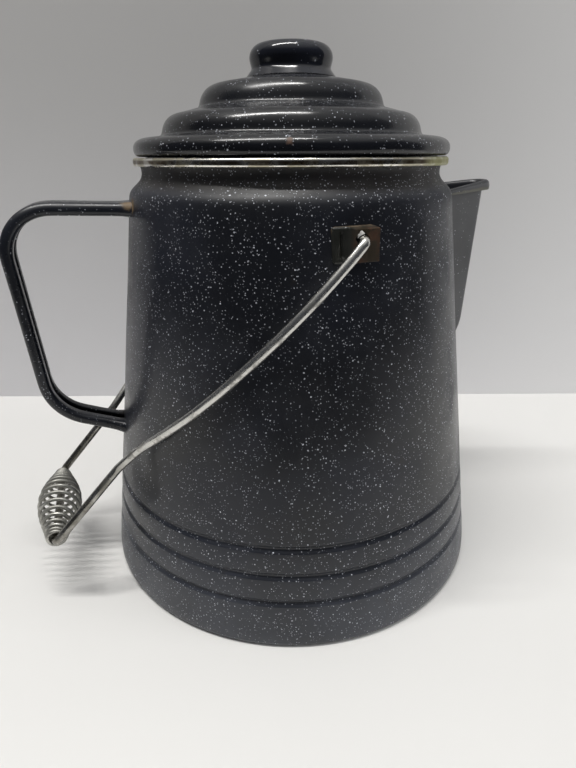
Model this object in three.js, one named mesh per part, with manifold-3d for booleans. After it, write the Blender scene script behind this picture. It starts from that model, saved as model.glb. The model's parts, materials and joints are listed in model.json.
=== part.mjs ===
// Enamelled steel coffee pot with a strap handle, a wire bail with a coil grip,
// a pressed spout and a stepped lift-off lid.
// Millimetres, +Z up, origin at the centre of the base on the floor.
// The spout points along +X, the strap handle along -X, and the bail hangs on ears at +Y and -Y.

import * as THREE from 'three';
import { mergeVertices } from 'three/addons/utils/BufferGeometryUtils.js';
import Module from 'manifold-3d';

const wasm = await Module();
wasm.setup();

// Sheet, wire and running clearances
const sheet = 1.2;
const seat_gap = 0.3;
const overrun = 20;
const ring_segments = 52;

// Pot wall: a cone that narrows upwards to the shoulder, a drawn-in neck and a flanged mouth
const mouth_height = 238.9;
const neck_drop = 7;
const shoulder_drop = 19.9;
const neck_height = mouth_height - neck_drop;
const shoulder_height = mouth_height - shoulder_drop;
const foot_radius = 120.9;
const shoulder_radius = 89.7;
const neck_inset = 8.1;
const neck_radius = shoulder_radius - neck_inset;
const flange_overhang = 3;
const flange_radius = neck_radius + flange_overhang;
const flange_width = 1.6;
// Each pair is a share of the way up and a share of the way in, from shoulder to neck
const shoulder_shares = [[0, 0], [0.25, 0.04], [0.465, 0.27], [0.7, 0.735], [0.88, 0.95], [1, 1]];
// Each pair is a share of the way up and a share of the way out, from neck to flange
const flare_shares = [[0.4, 0.06], [0.76, 0.4]];

// Three pressed grooves near the foot, with crowned bands between them
const lowest_groove_height = 27.6;
const groove_spacing = 15.5;
const groove_count = 3;
const groove_depth = 1.1;
const groove_half_width = 2;
const band_crown = 0.2;
const band_edge_share = 0.6;

// Base pan: rounded corner, flat floor, and a flange that laps inside the wall
const base_radius = 120;
const base_corner_radius = 3;
const corner_steps = 4;
const lap_height = 8;

// Stainless rim band, folded round the mouth's flange
const band_sheet = 0.9;
const band_lap = 1;

// Strap handle: a channel with rolled edges, open towards the fingers
const handle_width = 20;
const handle_depth = 5.8;
const handle_sheet = 1.2;
const handle_slot_width = 7;
const handle_edge_radius = 2.6;
const handle_top_drop = 4;
const handle_top_height = shoulder_height - handle_top_drop;
const handle_top_rise = 2.6;
const handle_top_reach = 154.3;
const handle_top_bend = 22.5;
const handle_low_reach = 146;
const handle_low_height = 106.8;
const handle_low_bend = 27.7;
const handle_foot_height = 91.8;
const handle_bend_steps = 7;
const handle_edge_steps = 3;

// Spout: folded sheet with a rounded front ridge, an elliptical foot and a rolled lip
const spout_sheet = 1.2;
const spout_rim_drop = 0.5;
const spout_rim_height = shoulder_height - spout_rim_drop;
const spout_ridge_height = 140;
const spout_foot_height = 108;
const spout_ridge_reach = 128.7;
const spout_bend_reach = 125.9;
const spout_rim_half_width = 27;
const spout_foot_half_width = 5;
const spout_nose_radius = 7;
const spout_foot_nose_radius = 4;
const spout_nose_steps = 8;
const spout_foot_steps = 6;
const spout_flank_steps = 4;
const lip_height = 7;
const lip_reach = 3.5;
// Each pair is a share of the lip's height and a share of its reach, along its roll
const lip_shares = [[0.5, 0.07], [0.84, 0.3], [1, 0.7], [0.75, 1]];

// Strainer: holes through the wall behind the spout
const strainer_hole_radius = 2.75;
const strainer_pitch = 12;
const strainer_drop = 18.5;
const strainer_top_height = spout_rim_height - strainer_drop;
const strainer_rows = 5;
const strainer_sides = 10;

// Bail: spring-steel wire from ear to ear, bowed round the wall, with its hooks turned in
const wire_radius = 2.38;
const bail_hinge_drop = 11.5;
const bail_hinge_height = shoulder_height - bail_hinge_drop;
const bail_length = 225.5;
const bail_rest_angle = 42.6;
const bail_rest_gap = 0.5;
const hook_radius = 3.2;
const hook_reach = 4.2;
const kink_share = 0.7465;
const kink_spread = 1.3;
const corner_radius = 4;
// Each pair is a share of the arm's length and a share of the ear's stand-off from the wall
const arm_shares = [
  [0.054, 0.9], [0.134, 0.71], [0.224, 0.45], [0.313, 0.18], [0.403, 0.03],
  [0.45, 0], [0.5, 0], [0.56, 0.01], [0.613, 0.13], [0.671, 0.43],
];
const arm_steps = 26;
const bend_steps = 5;
const wire_sides = 8;

// Coil grip: one wire wound as a spindle round the bail's crosspiece
const coil_wire_radius = 0.95;
const coil_length = 74;
const coil_end_play = 3.2;
const coil_middle_radius = 11.9;
const coil_bore_gap = 0.6;
const coil_turns = 16;
const coil_turn_steps = 8;
const coil_sides = 5;
const coil_crowding_share = 0.44;

// Bail ears: a welded flange beside a raised pad that the bail's hook turns in
const ear_sheet = 1.5;
const ear_height = 15.5;
const ear_width = 20.4;
const ear_shift = 1.65;
const ear_pad_width = 14.5;
const ear_pad_rise = 6.9;
const ear_pad_drop = 2.4;
const ear_hole_gap = 0.4;
const ear_wire_gap = 0.7;
const ear_corner_radius = 1.6;
const ear_hole_sides = 16;

// Lid: three rounded tiers over a locating skirt
const lid_sheet = 1.2;
const lid_overhang = 0.8;
const lid_rim_radius = flange_radius + lid_overhang;
const lid_rim_height = 4.6;
const lid_rim_curl = 2.6;
const low_tier_rise = 4.7;
const low_tier_round = 8;
const low_tier_crown = 0.8;
const middle_tier_step = 15.4;
const middle_tier_radius = lid_rim_radius - middle_tier_step;
const middle_tier_rise = 10.6;
const middle_tier_round = 9;
const middle_tier_crown = 3;
const top_tier_step = 20.6;
const top_tier_radius = middle_tier_radius - top_tier_step;
const top_tier_rise = 11;
const top_tier_round = 10;
const top_tier_crown = 3;
const lid_tiers = [
  { radius: lid_rim_radius, rise: low_tier_rise, round: low_tier_round, crown: low_tier_crown },
  { radius: middle_tier_radius, rise: middle_tier_rise, round: middle_tier_round, crown: middle_tier_crown },
  { radius: top_tier_radius, rise: top_tier_rise, round: top_tier_round, crown: top_tier_crown },
];
const lid_arc_steps = 3;
const skirt_gap = 0.9;
const skirt_depth = 12;
const skirt_flange = 2.4;

// Knob: a hollow pressing with a waist, standing on the lid's crown
const knob_radius = 22.1;
const knob_foot_spread = 2.2;
const knob_foot_radius = knob_radius + knob_foot_spread;
const knob_waist_inset = 1.3;
const knob_waist_radius = knob_radius - knob_waist_inset;
const knob_height = 17.2;
const knob_dome = 1.5;
const knob_round = 6.5;
const knob_waist_share = 0.24;
const knob_swell_share = 0.5;
const knob_segments = 32;

// Colours of the finishes
const enamel = { color: 0x1d1f23, roughness: 0.22, metalness: 0 };
const stainless = { color: 0xc9c6bd, roughness: 0.25, metalness: 1 };
const galvanised = { color: 0x9a9a98, roughness: 0.38, metalness: 1 };
const scorched = { color: 0x33281f, roughness: 0.5, metalness: 0 };

const group = new THREE.Group();

// Adds a named mesh with its own material.
function addPart(name, geometry, finish) {
  const mesh = new THREE.Mesh(geometry, new THREE.MeshStandardMaterial(finish));
  mesh.name = name;
  group.add(mesh);
}

// Position-only geometry with shared vertices and no collapsed faces.
function welded(geometry) {
  geometry.deleteAttribute('normal');
  geometry.deleteAttribute('uv');
  const merged = mergeVertices(geometry);
  const corners = merged.index.array;
  const kept = [];
  for (let i = 0; i < corners.length; i += 3) {
    const [a, b, c] = [corners[i], corners[i + 1], corners[i + 2]];
    if (a !== b && b !== c && c !== a) kept.push(a, b, c);
  }
  merged.setIndex(kept);
  return merged;
}

function solidOf(geometry) {
  const vertProperties = new Float32Array(geometry.attributes.position.array);
  const triVerts = new Uint32Array(geometry.index.array);
  return new wasm.Manifold(new wasm.Mesh({ numProp: 3, vertProperties, triVerts }));
}

function geometryOf(solid) {
  const mesh = solid.getMesh();
  const geometry = new THREE.BufferGeometry();
  geometry.setAttribute('position', new THREE.BufferAttribute(mesh.vertProperties, 3));
  geometry.setIndex(new THREE.BufferAttribute(mesh.triVerts, 1));
  return geometry;
}

// Turns a closed outline of [radius, height] pairs, listed counter-clockwise, about the Z axis.
function turned(outline, segments = ring_segments) {
  const points = [...outline, outline[0]].map(([r, z]) => new THREE.Vector2(r, z));
  return welded(new THREE.LatheGeometry(points, segments).rotateX(Math.PI / 2));
}

// Points of an ellipse quarter or less about a centre, from one angle to another in degrees.
function arc(centre, radii, from, to, steps) {
  const points = [];
  for (let i = 0; i <= steps; i++) {
    const angle = THREE.MathUtils.degToRad(from + ((to - from) * i) / steps);
    points.push([centre[0] + radii[0] * Math.cos(angle), centre[1] + radii[1] * Math.sin(angle)]);
  }
  return points;
}

// Moves an open outline sideways, to its left as it is walked, by an even distance.
function offsetOutline(outline, distance) {
  return outline.map((point, i) => {
    const before = outline[Math.max(i - 1, 0)];
    const after = outline[Math.min(i + 1, outline.length - 1)];
    const along = new THREE.Vector2(after[0] - before[0], after[1] - before[1]).normalize();
    return [point[0] - along.y * distance, point[1] + along.x * distance];
  });
}

// Path through given stations, so that a swept section stands on each one of them.
class StationPath extends THREE.Curve {
  constructor(stations) {
    super();
    this.stations = stations;
  }

  getPoint(share) {
    const last = this.stations.length - 1;
    const place = share * last;
    const index = Math.min(Math.floor(place), last - 1);
    return this.stations[index].clone().lerp(this.stations[index + 1], place - index);
  }

  getPointAt(share) {
    return this.getPoint(share);
  }

  getTangentAt(share) {
    const last = this.stations.length - 1;
    const index = Math.round(share * last);
    const before = this.stations[Math.max(index - 1, 0)];
    const after = this.stations[Math.min(index + 1, last)];
    return after.clone().sub(before).normalize();
  }
}

// Carries a section along stations.
function swept(section, stations) {
  const extrudePath = new StationPath(stations);
  const steps = stations.length - 1;
  return welded(new THREE.ExtrudeGeometry(section, { steps, extrudePath, curveSegments: 1 }));
}

function roundSection(radius, sides) {
  const corners = [];
  for (let i = 0; i < sides; i++) {
    const angle = (2 * Math.PI * i) / sides;
    corners.push(new THREE.Vector2(radius * Math.cos(angle), radius * Math.sin(angle)));
  }
  return new THREE.Shape(corners);
}

function box(low, high) {
  const size = high.map((value, i) => value - low[i]);
  const middle = high.map((value, i) => (value + low[i]) / 2);
  return solidOf(welded(new THREE.BoxGeometry(...size).translate(...middle)));
}

// Outer radius of the plain cone at a height.
function coneRadius(height) {
  return THREE.MathUtils.lerp(foot_radius, shoulder_radius, height / shoulder_height);
}

// Radius of the wall's outside along its pressed bands, from the lowest groove upwards.
function bandOutline() {
  const outline = [];
  for (let i = 0; i < groove_count; i++) {
    const floor = lowest_groove_height + i * groove_spacing;
    const crowned = i < groove_count - 1;
    outline.push([coneRadius(floor) - groove_depth, floor]);
    const low = floor + groove_half_width;
    const high = floor + groove_spacing - groove_half_width;
    if (crowned) {
      outline.push([coneRadius(low) + band_crown * band_edge_share, low]);
      const middle = (low + high) / 2;
      outline.push([coneRadius(middle) + band_crown, middle]);
      outline.push([coneRadius(high) + band_crown * band_edge_share, high]);
    } else {
      outline.push([coneRadius(low), low]);
    }
  }
  return outline;
}

// Outside of the neck, from the shoulder in to the neck and out to the flange's underside.
function neckOutline() {
  const outline = shoulder_shares.map(([up, inwards]) => [
    THREE.MathUtils.lerp(shoulder_radius, neck_radius, inwards),
    THREE.MathUtils.lerp(shoulder_height, neck_height, up),
  ]);
  const root_radius = flange_radius - flange_width;
  const flange_underside = mouth_height - sheet;
  for (const [up, outwards] of flare_shares) {
    outline.push([
      THREE.MathUtils.lerp(neck_radius, root_radius, outwards),
      THREE.MathUtils.lerp(neck_height, flange_underside, up),
    ]);
  }
  outline.push([root_radius, flange_underside]);
  return outline;
}

// Solid that fills the pot out to its wall and a gap beyond, used to trim what is fixed to it.
function wallCutter(gap) {
  const skin = [...bandOutline(), ...neckOutline()].map(([r, z]) => [r + gap, z]);
  const foot = [coneRadius(0) + gap, 0];
  const top = skin[skin.length - 1];
  return solidOf(turned([[0, 0], foot, ...skin, [top[0], top[1] + overrun], [0, top[1] + overrun]]));
}

// Half width of the spout where it meets the wall.
function spoutHalfWidth(height) {
  const share = (height - spout_foot_height) / (spout_rim_height - spout_foot_height);
  return THREE.MathUtils.lerp(spout_foot_half_width, spout_rim_half_width, Math.max(share, 0));
}

function strainerHoles() {
  const holes = [];
  for (let row = 0; row < strainer_rows; row++) {
    const height = strainer_top_height - row * strainer_pitch;
    const room = spoutHalfWidth(height) - strainer_pitch / 2;
    const pairs = Math.floor((2 * room) / strainer_pitch);
    for (let i = 0; i <= pairs; i++) {
      const across = (i - pairs / 2) * strainer_pitch;
      const hole = new THREE.CylinderGeometry(
        strainer_hole_radius, strainer_hole_radius, 2 * overrun, strainer_sides,
      );
      hole.rotateZ(Math.PI / 2).translate(coneRadius(height), across, height);
      holes.push(solidOf(welded(hole)));
    }
  }
  return holes;
}

function bodyShell() {
  const outside = [...bandOutline(), ...neckOutline()];
  outside.push([flange_radius, mouth_height - sheet], [flange_radius, mouth_height]);
  const neck = offsetOutline(neckOutline(), sheet);
  const inside = [[coneRadius(lowest_groove_height) - sheet - groove_depth, lowest_groove_height]];
  const above = lowest_groove_height + (groove_count - 1) * groove_spacing;
  inside.push([coneRadius(above) - sheet - groove_depth, above]);
  const grooves_end = lowest_groove_height + groove_count * groove_spacing;
  inside.push([coneRadius(grooves_end) - sheet, grooves_end], ...neck);
  inside[inside.length - 1][1] = mouth_height;
  let solid = solidOf(turned([...outside, ...inside.reverse()]));
  for (const hole of strainerHoles()) solid = solid.subtract(hole);
  return geometryOf(solid);
}

function basePan() {
  const seam = lowest_groove_height - seat_gap;
  const corner_centre = [base_radius - base_corner_radius, base_corner_radius];
  const corner_radii = [base_corner_radius, base_corner_radius];
  const outside = [[0, 0], ...arc(corner_centre, corner_radii, -90, 0, corner_steps)];
  const crown_height = (base_corner_radius + seam) / 2;
  outside.push([coneRadius(crown_height) + band_crown, crown_height]);
  const edge_height = seam - groove_half_width;
  outside.push([coneRadius(edge_height) + band_crown * band_edge_share, edge_height]);
  outside.push([coneRadius(seam) - groove_depth, seam]);
  const lap = sheet + groove_depth + seat_gap;
  const lap_top = lowest_groove_height + lap_height;
  outside.push([coneRadius(seam) - lap, seam], [coneRadius(lap_top) - lap, lap_top]);
  const inner_radii = [base_corner_radius - sheet, base_corner_radius - sheet];
  const inside = [
    [coneRadius(lap_top) - lap - sheet, lap_top],
    [coneRadius(seam) - lap - sheet, seam],
    ...arc([corner_centre[0] - lap, corner_centre[1]], inner_radii, 0, -90, corner_steps),
    [0, sheet],
  ];
  return turned([...outside, ...inside]);
}

// Heights of the rim band's outside, from the flange that it holds.
const band_top = mouth_height + seat_gap + band_sheet;
const band_bottom = mouth_height - sheet - seat_gap - band_sheet;

function rimBand() {
  const slot_radius = flange_radius + seat_gap;
  const outer_radius = slot_radius + band_sheet;
  const ease = band_sheet * Math.SQRT1_2;
  const slot_low = mouth_height - sheet - seat_gap;
  const slot_high = mouth_height + seat_gap;
  return turned([
    [flange_radius - band_lap / 2, band_bottom],
    [outer_radius - ease, band_bottom],
    [outer_radius, band_bottom + ease],
    [outer_radius, band_top - ease],
    [outer_radius - ease, band_top],
    [flange_radius - flange_width - band_lap / 2, band_top],
    [flange_radius - flange_width - band_lap / 2, slot_high],
    [slot_radius, slot_high],
    [slot_radius, slot_low],
    [flange_radius - band_lap / 2, slot_low],
  ]);
}

// Rounds one corner of a route in the XZ plane: points of the arc, in order.
function bend(before, corner, after, radius, steps) {
  const back = before.clone().sub(corner).normalize();
  const ahead = after.clone().sub(corner).normalize();
  const half = back.angleTo(ahead) / 2;
  const reach = radius / Math.tan(half);
  const centre = back.clone().add(ahead).normalize().multiplyScalar(radius / Math.sin(half)).add(corner);
  const start = corner.clone().addScaledVector(back, reach).sub(centre);
  const end = corner.clone().addScaledVector(ahead, reach).sub(centre);
  const sweep = Math.PI - 2 * half;
  const points = [];
  for (let i = 0; i <= steps; i++) {
    const turn = (sweep * i) / steps;
    const from_start = Math.sin(sweep - turn) / Math.sin(sweep);
    const from_end = Math.sin(turn) / Math.sin(sweep);
    points.push(centre.clone().addScaledVector(start, from_start).addScaledVector(end, from_end));
  }
  return points;
}

function handleRoute() {
  const head = new THREE.Vector3(-coneRadius(handle_top_height), 0, handle_top_height);
  const top_corner = new THREE.Vector3(-handle_top_reach, 0, handle_top_height + handle_top_rise);
  const top_start = head.clone().addScaledVector(head.clone().sub(top_corner).normalize(), overrun);
  const low_corner = new THREE.Vector3(-handle_low_reach, 0, handle_low_height);
  const foot = new THREE.Vector3(-coneRadius(handle_foot_height), 0, handle_foot_height);
  const inwards = foot.clone().sub(low_corner).normalize();
  const low_end = foot.clone().addScaledVector(inwards, overrun);
  return [
    top_start,
    ...bend(top_start, top_corner, low_corner, handle_top_bend, handle_bend_steps),
    ...bend(top_corner, low_corner, low_end, handle_low_bend, handle_bend_steps),
    low_end,
  ];
}

// Channel section, worked out with x towards the fingers and y across the strap. The frame along
// the route has its first axis across the strap, and its second away from the fingers.
function handleSection() {
  const half_depth = handle_depth / 2;
  const half_width = handle_width / 2;
  const corners = (radius, inset) => {
    const [x, y] = [half_depth - inset - radius, half_width - inset - radius];
    const radii = [radius, radius];
    return [
      ...arc([x, y], radii, 0, 90, handle_edge_steps),
      ...arc([-x, y], radii, 90, 180, handle_edge_steps),
      ...arc([-x, -y], radii, 180, 270, handle_edge_steps),
      ...arc([x, -y], radii, 270, 360, handle_edge_steps),
    ];
  };
  const half_slot = handle_slot_width / 2;
  const outside = corners(handle_edge_radius, 0);
  const inside = corners(handle_edge_radius - handle_sheet, handle_sheet).reverse();
  const outline = [
    [half_depth, half_slot], ...outside, [half_depth, -half_slot],
    [half_depth - handle_sheet, -half_slot], ...inside, [half_depth - handle_sheet, half_slot],
  ];
  return new THREE.Shape(outline.map(([x, y]) => new THREE.Vector2(y, -x)));
}

function handleStrap() {
  const strap = solidOf(swept(handleSection(), handleRoute()));
  return geometryOf(strap.subtract(wallCutter(seat_gap)));
}

// Plan of the spout at one level, from the wall round the nose and back: places and outward directions.
function spoutPlan(wall_x, half_width, reach, nose_radius) {
  const centre_x = reach - nose_radius;
  const to_wall = Math.atan2(half_width, wall_x - centre_x);
  const distance = Math.hypot(half_width, wall_x - centre_x);
  const tangent = to_wall - Math.acos(nose_radius / distance);
  const plan = [];
  for (let i = 0; i <= spout_nose_steps; i++) {
    const angle = tangent * ((2 * i) / spout_nose_steps - 1);
    const out = new THREE.Vector2(Math.cos(angle), Math.sin(angle));
    plan.push({ place: new THREE.Vector2(centre_x, 0).addScaledVector(out, nose_radius), out });
  }
  plan.unshift({ place: new THREE.Vector2(wall_x, -half_width), out: plan[0].out });
  plan.push({ place: new THREE.Vector2(wall_x, half_width), out: plan[plan.length - 1].out });
  return plan;
}

// One row of the spout's outside. Its rim and lip rise and roll out more towards the nose.
function spoutRow(height, reach, nose_radius, lip_up = 0, lip_out = 0) {
  const wall_x = coneRadius(height) - overrun / 2;
  const root_x = wall_x - overrun / 2;
  return spoutPlan(wall_x, spoutHalfWidth(height), reach, nose_radius).map(({ place, out }) => {
    const forward = (place.x - root_x) / (reach - root_x);
    const moved = place.clone().addScaledVector(out, lip_out * forward);
    return new THREE.Vector3(moved.x, moved.y, height + lip_up * forward);
  });
}

// Outside of the spout as rows of points, from its foot up to the edge of its rolled lip.
function spoutRows() {
  const rows = [];
  const foot_x = coneRadius(spout_foot_height) - overrun / 2;
  for (let i = 0; i <= spout_foot_steps; i++) {
    const angle = (Math.PI / 2) * (1 - i / spout_foot_steps);
    const height = spout_ridge_height - (spout_ridge_height - spout_foot_height) * Math.sin(angle);
    const reach = THREE.MathUtils.lerp(foot_x, spout_bend_reach, Math.cos(angle));
    const inside_wall = coneRadius(height) - overrun / 4;
    rows.push(spoutRow(height, Math.max(reach, inside_wall), spout_foot_nose_radius));
  }
  for (let i = 1; i <= spout_flank_steps; i++) {
    const share = i / spout_flank_steps;
    const height = THREE.MathUtils.lerp(spout_ridge_height, spout_rim_height, share);
    const reach = THREE.MathUtils.lerp(spout_bend_reach, spout_ridge_reach, share);
    const nose_radius = THREE.MathUtils.lerp(spout_foot_nose_radius, spout_nose_radius, share);
    rows.push(spoutRow(height, reach, nose_radius));
  }
  for (const [up, out] of lip_shares) {
    const [lip_up, lip_out] = [lip_height * up, lip_reach * out];
    rows.push(spoutRow(spout_rim_height, spout_ridge_reach, spout_nose_radius, lip_up, lip_out));
  }
  return rows;
}

// Closed sheet between a grid of points and the same grid moved inwards by a thickness.
function sheetOf(rows, thickness) {
  const [count, width] = [rows.length, rows[0].length];
  const inner = rows.map((row, i) => row.map((point, j) => {
    const up = rows[Math.min(i + 1, count - 1)][j].clone().sub(rows[Math.max(i - 1, 0)][j]);
    const across = row[Math.min(j + 1, width - 1)].clone().sub(row[Math.max(j - 1, 0)]);
    return point.clone().addScaledVector(across.cross(up).normalize(), -thickness);
  }));
  const positions = [...rows, ...inner].flatMap((row) => row.flatMap((point) => point.toArray()));
  const at = (side, i, j) => (side * count + i) * width + j;
  const faces = [];
  const quad = (a, b, c, d) => faces.push(a, b, c, a, c, d);
  for (let i = 0; i < count - 1; i++) {
    for (let j = 0; j < width - 1; j++) {
      quad(at(0, i, j), at(0, i, j + 1), at(0, i + 1, j + 1), at(0, i + 1, j));
      quad(at(1, i, j), at(1, i + 1, j), at(1, i + 1, j + 1), at(1, i, j + 1));
    }
    quad(at(0, i, 0), at(0, i + 1, 0), at(1, i + 1, 0), at(1, i, 0));
    quad(at(0, i, width - 1), at(1, i, width - 1), at(1, i + 1, width - 1), at(0, i + 1, width - 1));
  }
  for (let j = 0; j < width - 1; j++) {
    quad(at(0, 0, j), at(1, 0, j), at(1, 0, j + 1), at(0, 0, j + 1));
    quad(at(0, count - 1, j), at(0, count - 1, j + 1), at(1, count - 1, j + 1), at(1, count - 1, j));
  }
  const geometry = new THREE.BufferGeometry();
  geometry.setAttribute('position', new THREE.Float32BufferAttribute(positions, 3));
  geometry.setIndex(faces);
  return geometry;
}

function spoutShell() {
  const shell = solidOf(sheetOf(spoutRows(), spout_sheet));
  return geometryOf(shell.subtract(wallCutter(seat_gap)));
}

// Outer face of an ear's raised pad, and the line of the bail's arm beside it
const pad_face = coneRadius(bail_hinge_height) + ear_pad_rise;
const arm_half_width = pad_face + ear_wire_gap + wire_radius;

// Face of a plate in the XZ plane with rounded corners, run along -Y from the pot's axis.
function plateWindow(left, right, low, high, radius, depth) {
  const face = new THREE.Shape();
  face.absarc(right - radius, low + radius, radius, -Math.PI / 2, 0);
  face.absarc(right - radius, high - radius, radius, 0, Math.PI / 2);
  face.absarc(left + radius, high - radius, radius, Math.PI / 2, Math.PI);
  face.absarc(left + radius, low + radius, radius, Math.PI, (3 * Math.PI) / 2);
  const settings = { depth, curveSegments: 3, bevelEnabled: false };
  return solidOf(welded(new THREE.ExtrudeGeometry(face, settings).rotateX(Math.PI / 2)));
}

// The bail ear at -Y: a flange on the wall, and a raised pad over a tunnel for the bail's hook.
function bailEar() {
  const middle = bail_hinge_height - ear_pad_drop;
  const [low, high] = [middle - ear_height / 2, middle + ear_height / 2];
  const [left, right] = [-ear_shift - ear_width / 2, -ear_shift + ear_width / 2];
  const pad_left = right - ear_pad_width;
  const within_wall = coneRadius(bail_hinge_height) - overrun;
  const flange = wallCutter(seat_gap + ear_sheet);
  const pad = box([pad_left, -pad_face, low], [right, -within_wall, high]);
  const tunnel = box(
    [pad_left + ear_sheet, ear_sheet - pad_face, low - overrun],
    [right - ear_sheet, overrun, high + overrun],
  );
  const hole_radius = wire_radius + ear_hole_gap;
  const hole = new THREE.CylinderGeometry(hole_radius, hole_radius, 2 * overrun, ear_hole_sides)
    .translate(0, -pad_face, bail_hinge_height);
  const window = plateWindow(left, right, low, high, ear_corner_radius, pad_face + overrun);
  return geometryOf(
    flange.add(pad).intersect(window).subtract(tunnel).subtract(wallCutter(seat_gap))
      .subtract(solidOf(welded(hole))),
  );
}

// The same geometry on the other side of the XZ plane.
function mirrored(geometry) {
  const copy = geometry.clone().scale(1, -1, 1);
  const corners = [...copy.index.array];
  for (let i = 0; i < corners.length; i += 3) [corners[i], corners[i + 1]] = [corners[i + 1], corners[i]];
  copy.setIndex(corners);
  return copy;
}

// A point of the bail's own plane: how far from the hinge line, and how far across.
function bailPoint(along, across) {
  const rest = THREE.MathUtils.degToRad(bail_rest_angle);
  return new THREE.Vector3(-along * Math.sin(rest), across, bail_hinge_height - along * Math.cos(rest));
}

// How far out an arm runs so that, at rest, its wire stands off the wall by its gap and more.
function armAcross(along, stand_off) {
  const point = bailPoint(along, 0);
  const clear = coneRadius(point.z) + bail_rest_gap + wire_radius + stand_off;
  return Math.sqrt(Math.max(clear * clear - point.x * point.x, 0));
}

const leg_half_width = coil_length / 2 + coil_end_play;
const kink_along = bail_length * kink_share;
const kink_half_width = Math.max(leg_half_width + kink_spread, armAcross(kink_along, 0));

// Half of the bail's route as [along, across] pairs, from the hook's tip to the crosspiece.
function halfBail() {
  const tip = arm_half_width - hook_radius - hook_reach;
  const hook_centre = [hook_radius, arm_half_width - hook_radius];
  const hook = arc(hook_centre, [hook_radius, hook_radius], 180, 90, bend_steps);
  const ear_stand_off = arm_half_width - armAcross(0, 0);
  const guides = arm_shares.map(([along_share, rise_share]) => {
    const along = bail_length * along_share;
    return [along, Math.max(armAcross(along, ear_stand_off * rise_share), kink_half_width)];
  });
  guides.unshift([hook_radius, arm_half_width]);
  guides.push([kink_along, kink_half_width]);
  const bow = new THREE.SplineCurve(guides.map(([along, across]) => new THREE.Vector2(along, across)));
  const arm = bow.getPoints(arm_steps).slice(1).map((point) => point.toArray());
  const corner_centre = [bail_length - corner_radius, leg_half_width - corner_radius];
  const corner = arc(corner_centre, [corner_radius, corner_radius], 90, 0, bend_steps);
  return [[0, tip], ...hook, ...arm, ...corner];
}

function bailWire() {
  const half = halfBail();
  const far = half.map(([along, across]) => bailPoint(along, across));
  const near = half.map(([along, across]) => bailPoint(along, -across));
  return swept(roundSection(wire_radius, wire_sides), [...near, ...far.reverse()]);
}

// Stations of the coil: a spindle whose turns crowd towards both ends.
function coilStations() {
  const centre = bailPoint(bail_length, 0);
  const end_radius = wire_radius + coil_bore_gap + coil_wire_radius;
  const steps = coil_turns * coil_turn_steps;
  const quarter_turn = Math.PI / 2;
  const stations = [];
  for (let i = 0; i <= steps; i++) {
    const share = (2 * i) / steps - 1;
    const eased = Math.sin(quarter_turn * share);
    const crowded = THREE.MathUtils.lerp(share, eased, coil_crowding_share);
    const across = (coil_length / 2 - coil_wire_radius) * crowded;
    const radius = THREE.MathUtils.lerp(end_radius, coil_middle_radius, Math.cos(quarter_turn * crowded));
    const turn = (2 * Math.PI * i) / coil_turn_steps;
    stations.push(new THREE.Vector3(radius * Math.cos(turn), across, radius * Math.sin(turn)).add(centre));
  }
  return stations;
}

// Least gap between turns, measured on the stations and the middles between them.
function coilGap(stations) {
  const points = stations.flatMap((point, i) => (
    i === 0 ? [point] : [stations[i - 1].clone().lerp(point, 1 / 2), point]
  ));
  const skipped = coil_turn_steps;
  let least = Infinity;
  points.forEach((point, i) => {
    for (let j = i + skipped; j < points.length; j++) least = Math.min(least, point.distanceTo(points[j]));
  });
  return least - 2 * coil_wire_radius;
}

function coilGrip() {
  const stations = coilStations();
  console.log(`coil grip: least gap between turns ${coilGap(stations).toFixed(2)} mm`);
  return swept(roundSection(coil_wire_radius, coil_sides), stations);
}

// Level that the lid rests on, and the radius of its skirt inside the neck
const lid_seat = band_top + seat_gap;
const skirt_radius = neck_radius - sheet - skirt_gap;

// Outside of the lid, from the edge of its turned-in rim up over the tiers to the axis.
function lidOutline() {
  let base = lid_seat + lid_rim_height;
  const outline = [[skirt_radius + seat_gap, lid_seat]];
  const curl_centre = [lid_rim_radius - lid_rim_curl, base];
  outline.push(...arc(curl_centre, [lid_rim_curl, lid_rim_height], -90, 0, lid_arc_steps));
  lid_tiers.forEach(({ radius, rise, round, crown }, i) => {
    const shoulder = arc([radius - round, base], [round, rise], 0, 90, lid_arc_steps);
    outline.push(...(i === 0 ? shoulder.slice(1) : shoulder));
    base += rise + crown;
  });
  outline.push([knob_foot_radius, base], [0, base]);
  return outline;
}

function lidShell() {
  const outside = lidOutline();
  return turned([...outside, ...offsetOutline(outside, lid_sheet).reverse()]);
}

function lidSkirt() {
  const flange_low = lid_seat + lid_sheet + seat_gap;
  const flange_high = flange_low + lid_sheet;
  return turned([
    [skirt_radius - lid_sheet, lid_seat - skirt_depth],
    [skirt_radius, lid_seat - skirt_depth],
    [skirt_radius, flange_low],
    [skirt_radius + skirt_flange, flange_low],
    [skirt_radius + skirt_flange, flange_high],
    [skirt_radius - lid_sheet, flange_high],
  ]);
}

function lidKnob() {
  const crown = lidOutline().pop()[1];
  const foot = crown + seat_gap;
  const top = foot + knob_height;
  const round_centre = [knob_radius - knob_round, top - knob_dome - knob_round];
  const outside = [
    [knob_foot_radius, foot],
    [knob_waist_radius, foot + knob_height * knob_waist_share],
    [knob_radius, foot + knob_height * knob_swell_share],
    ...arc(round_centre, [knob_round, knob_round], 0, 90, lid_arc_steps),
    [0, top],
  ];
  const inside = offsetOutline(outside, lid_sheet);
  inside[0][1] = foot;
  return turned([...outside, ...inside.reverse()], knob_segments);
}

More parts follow.
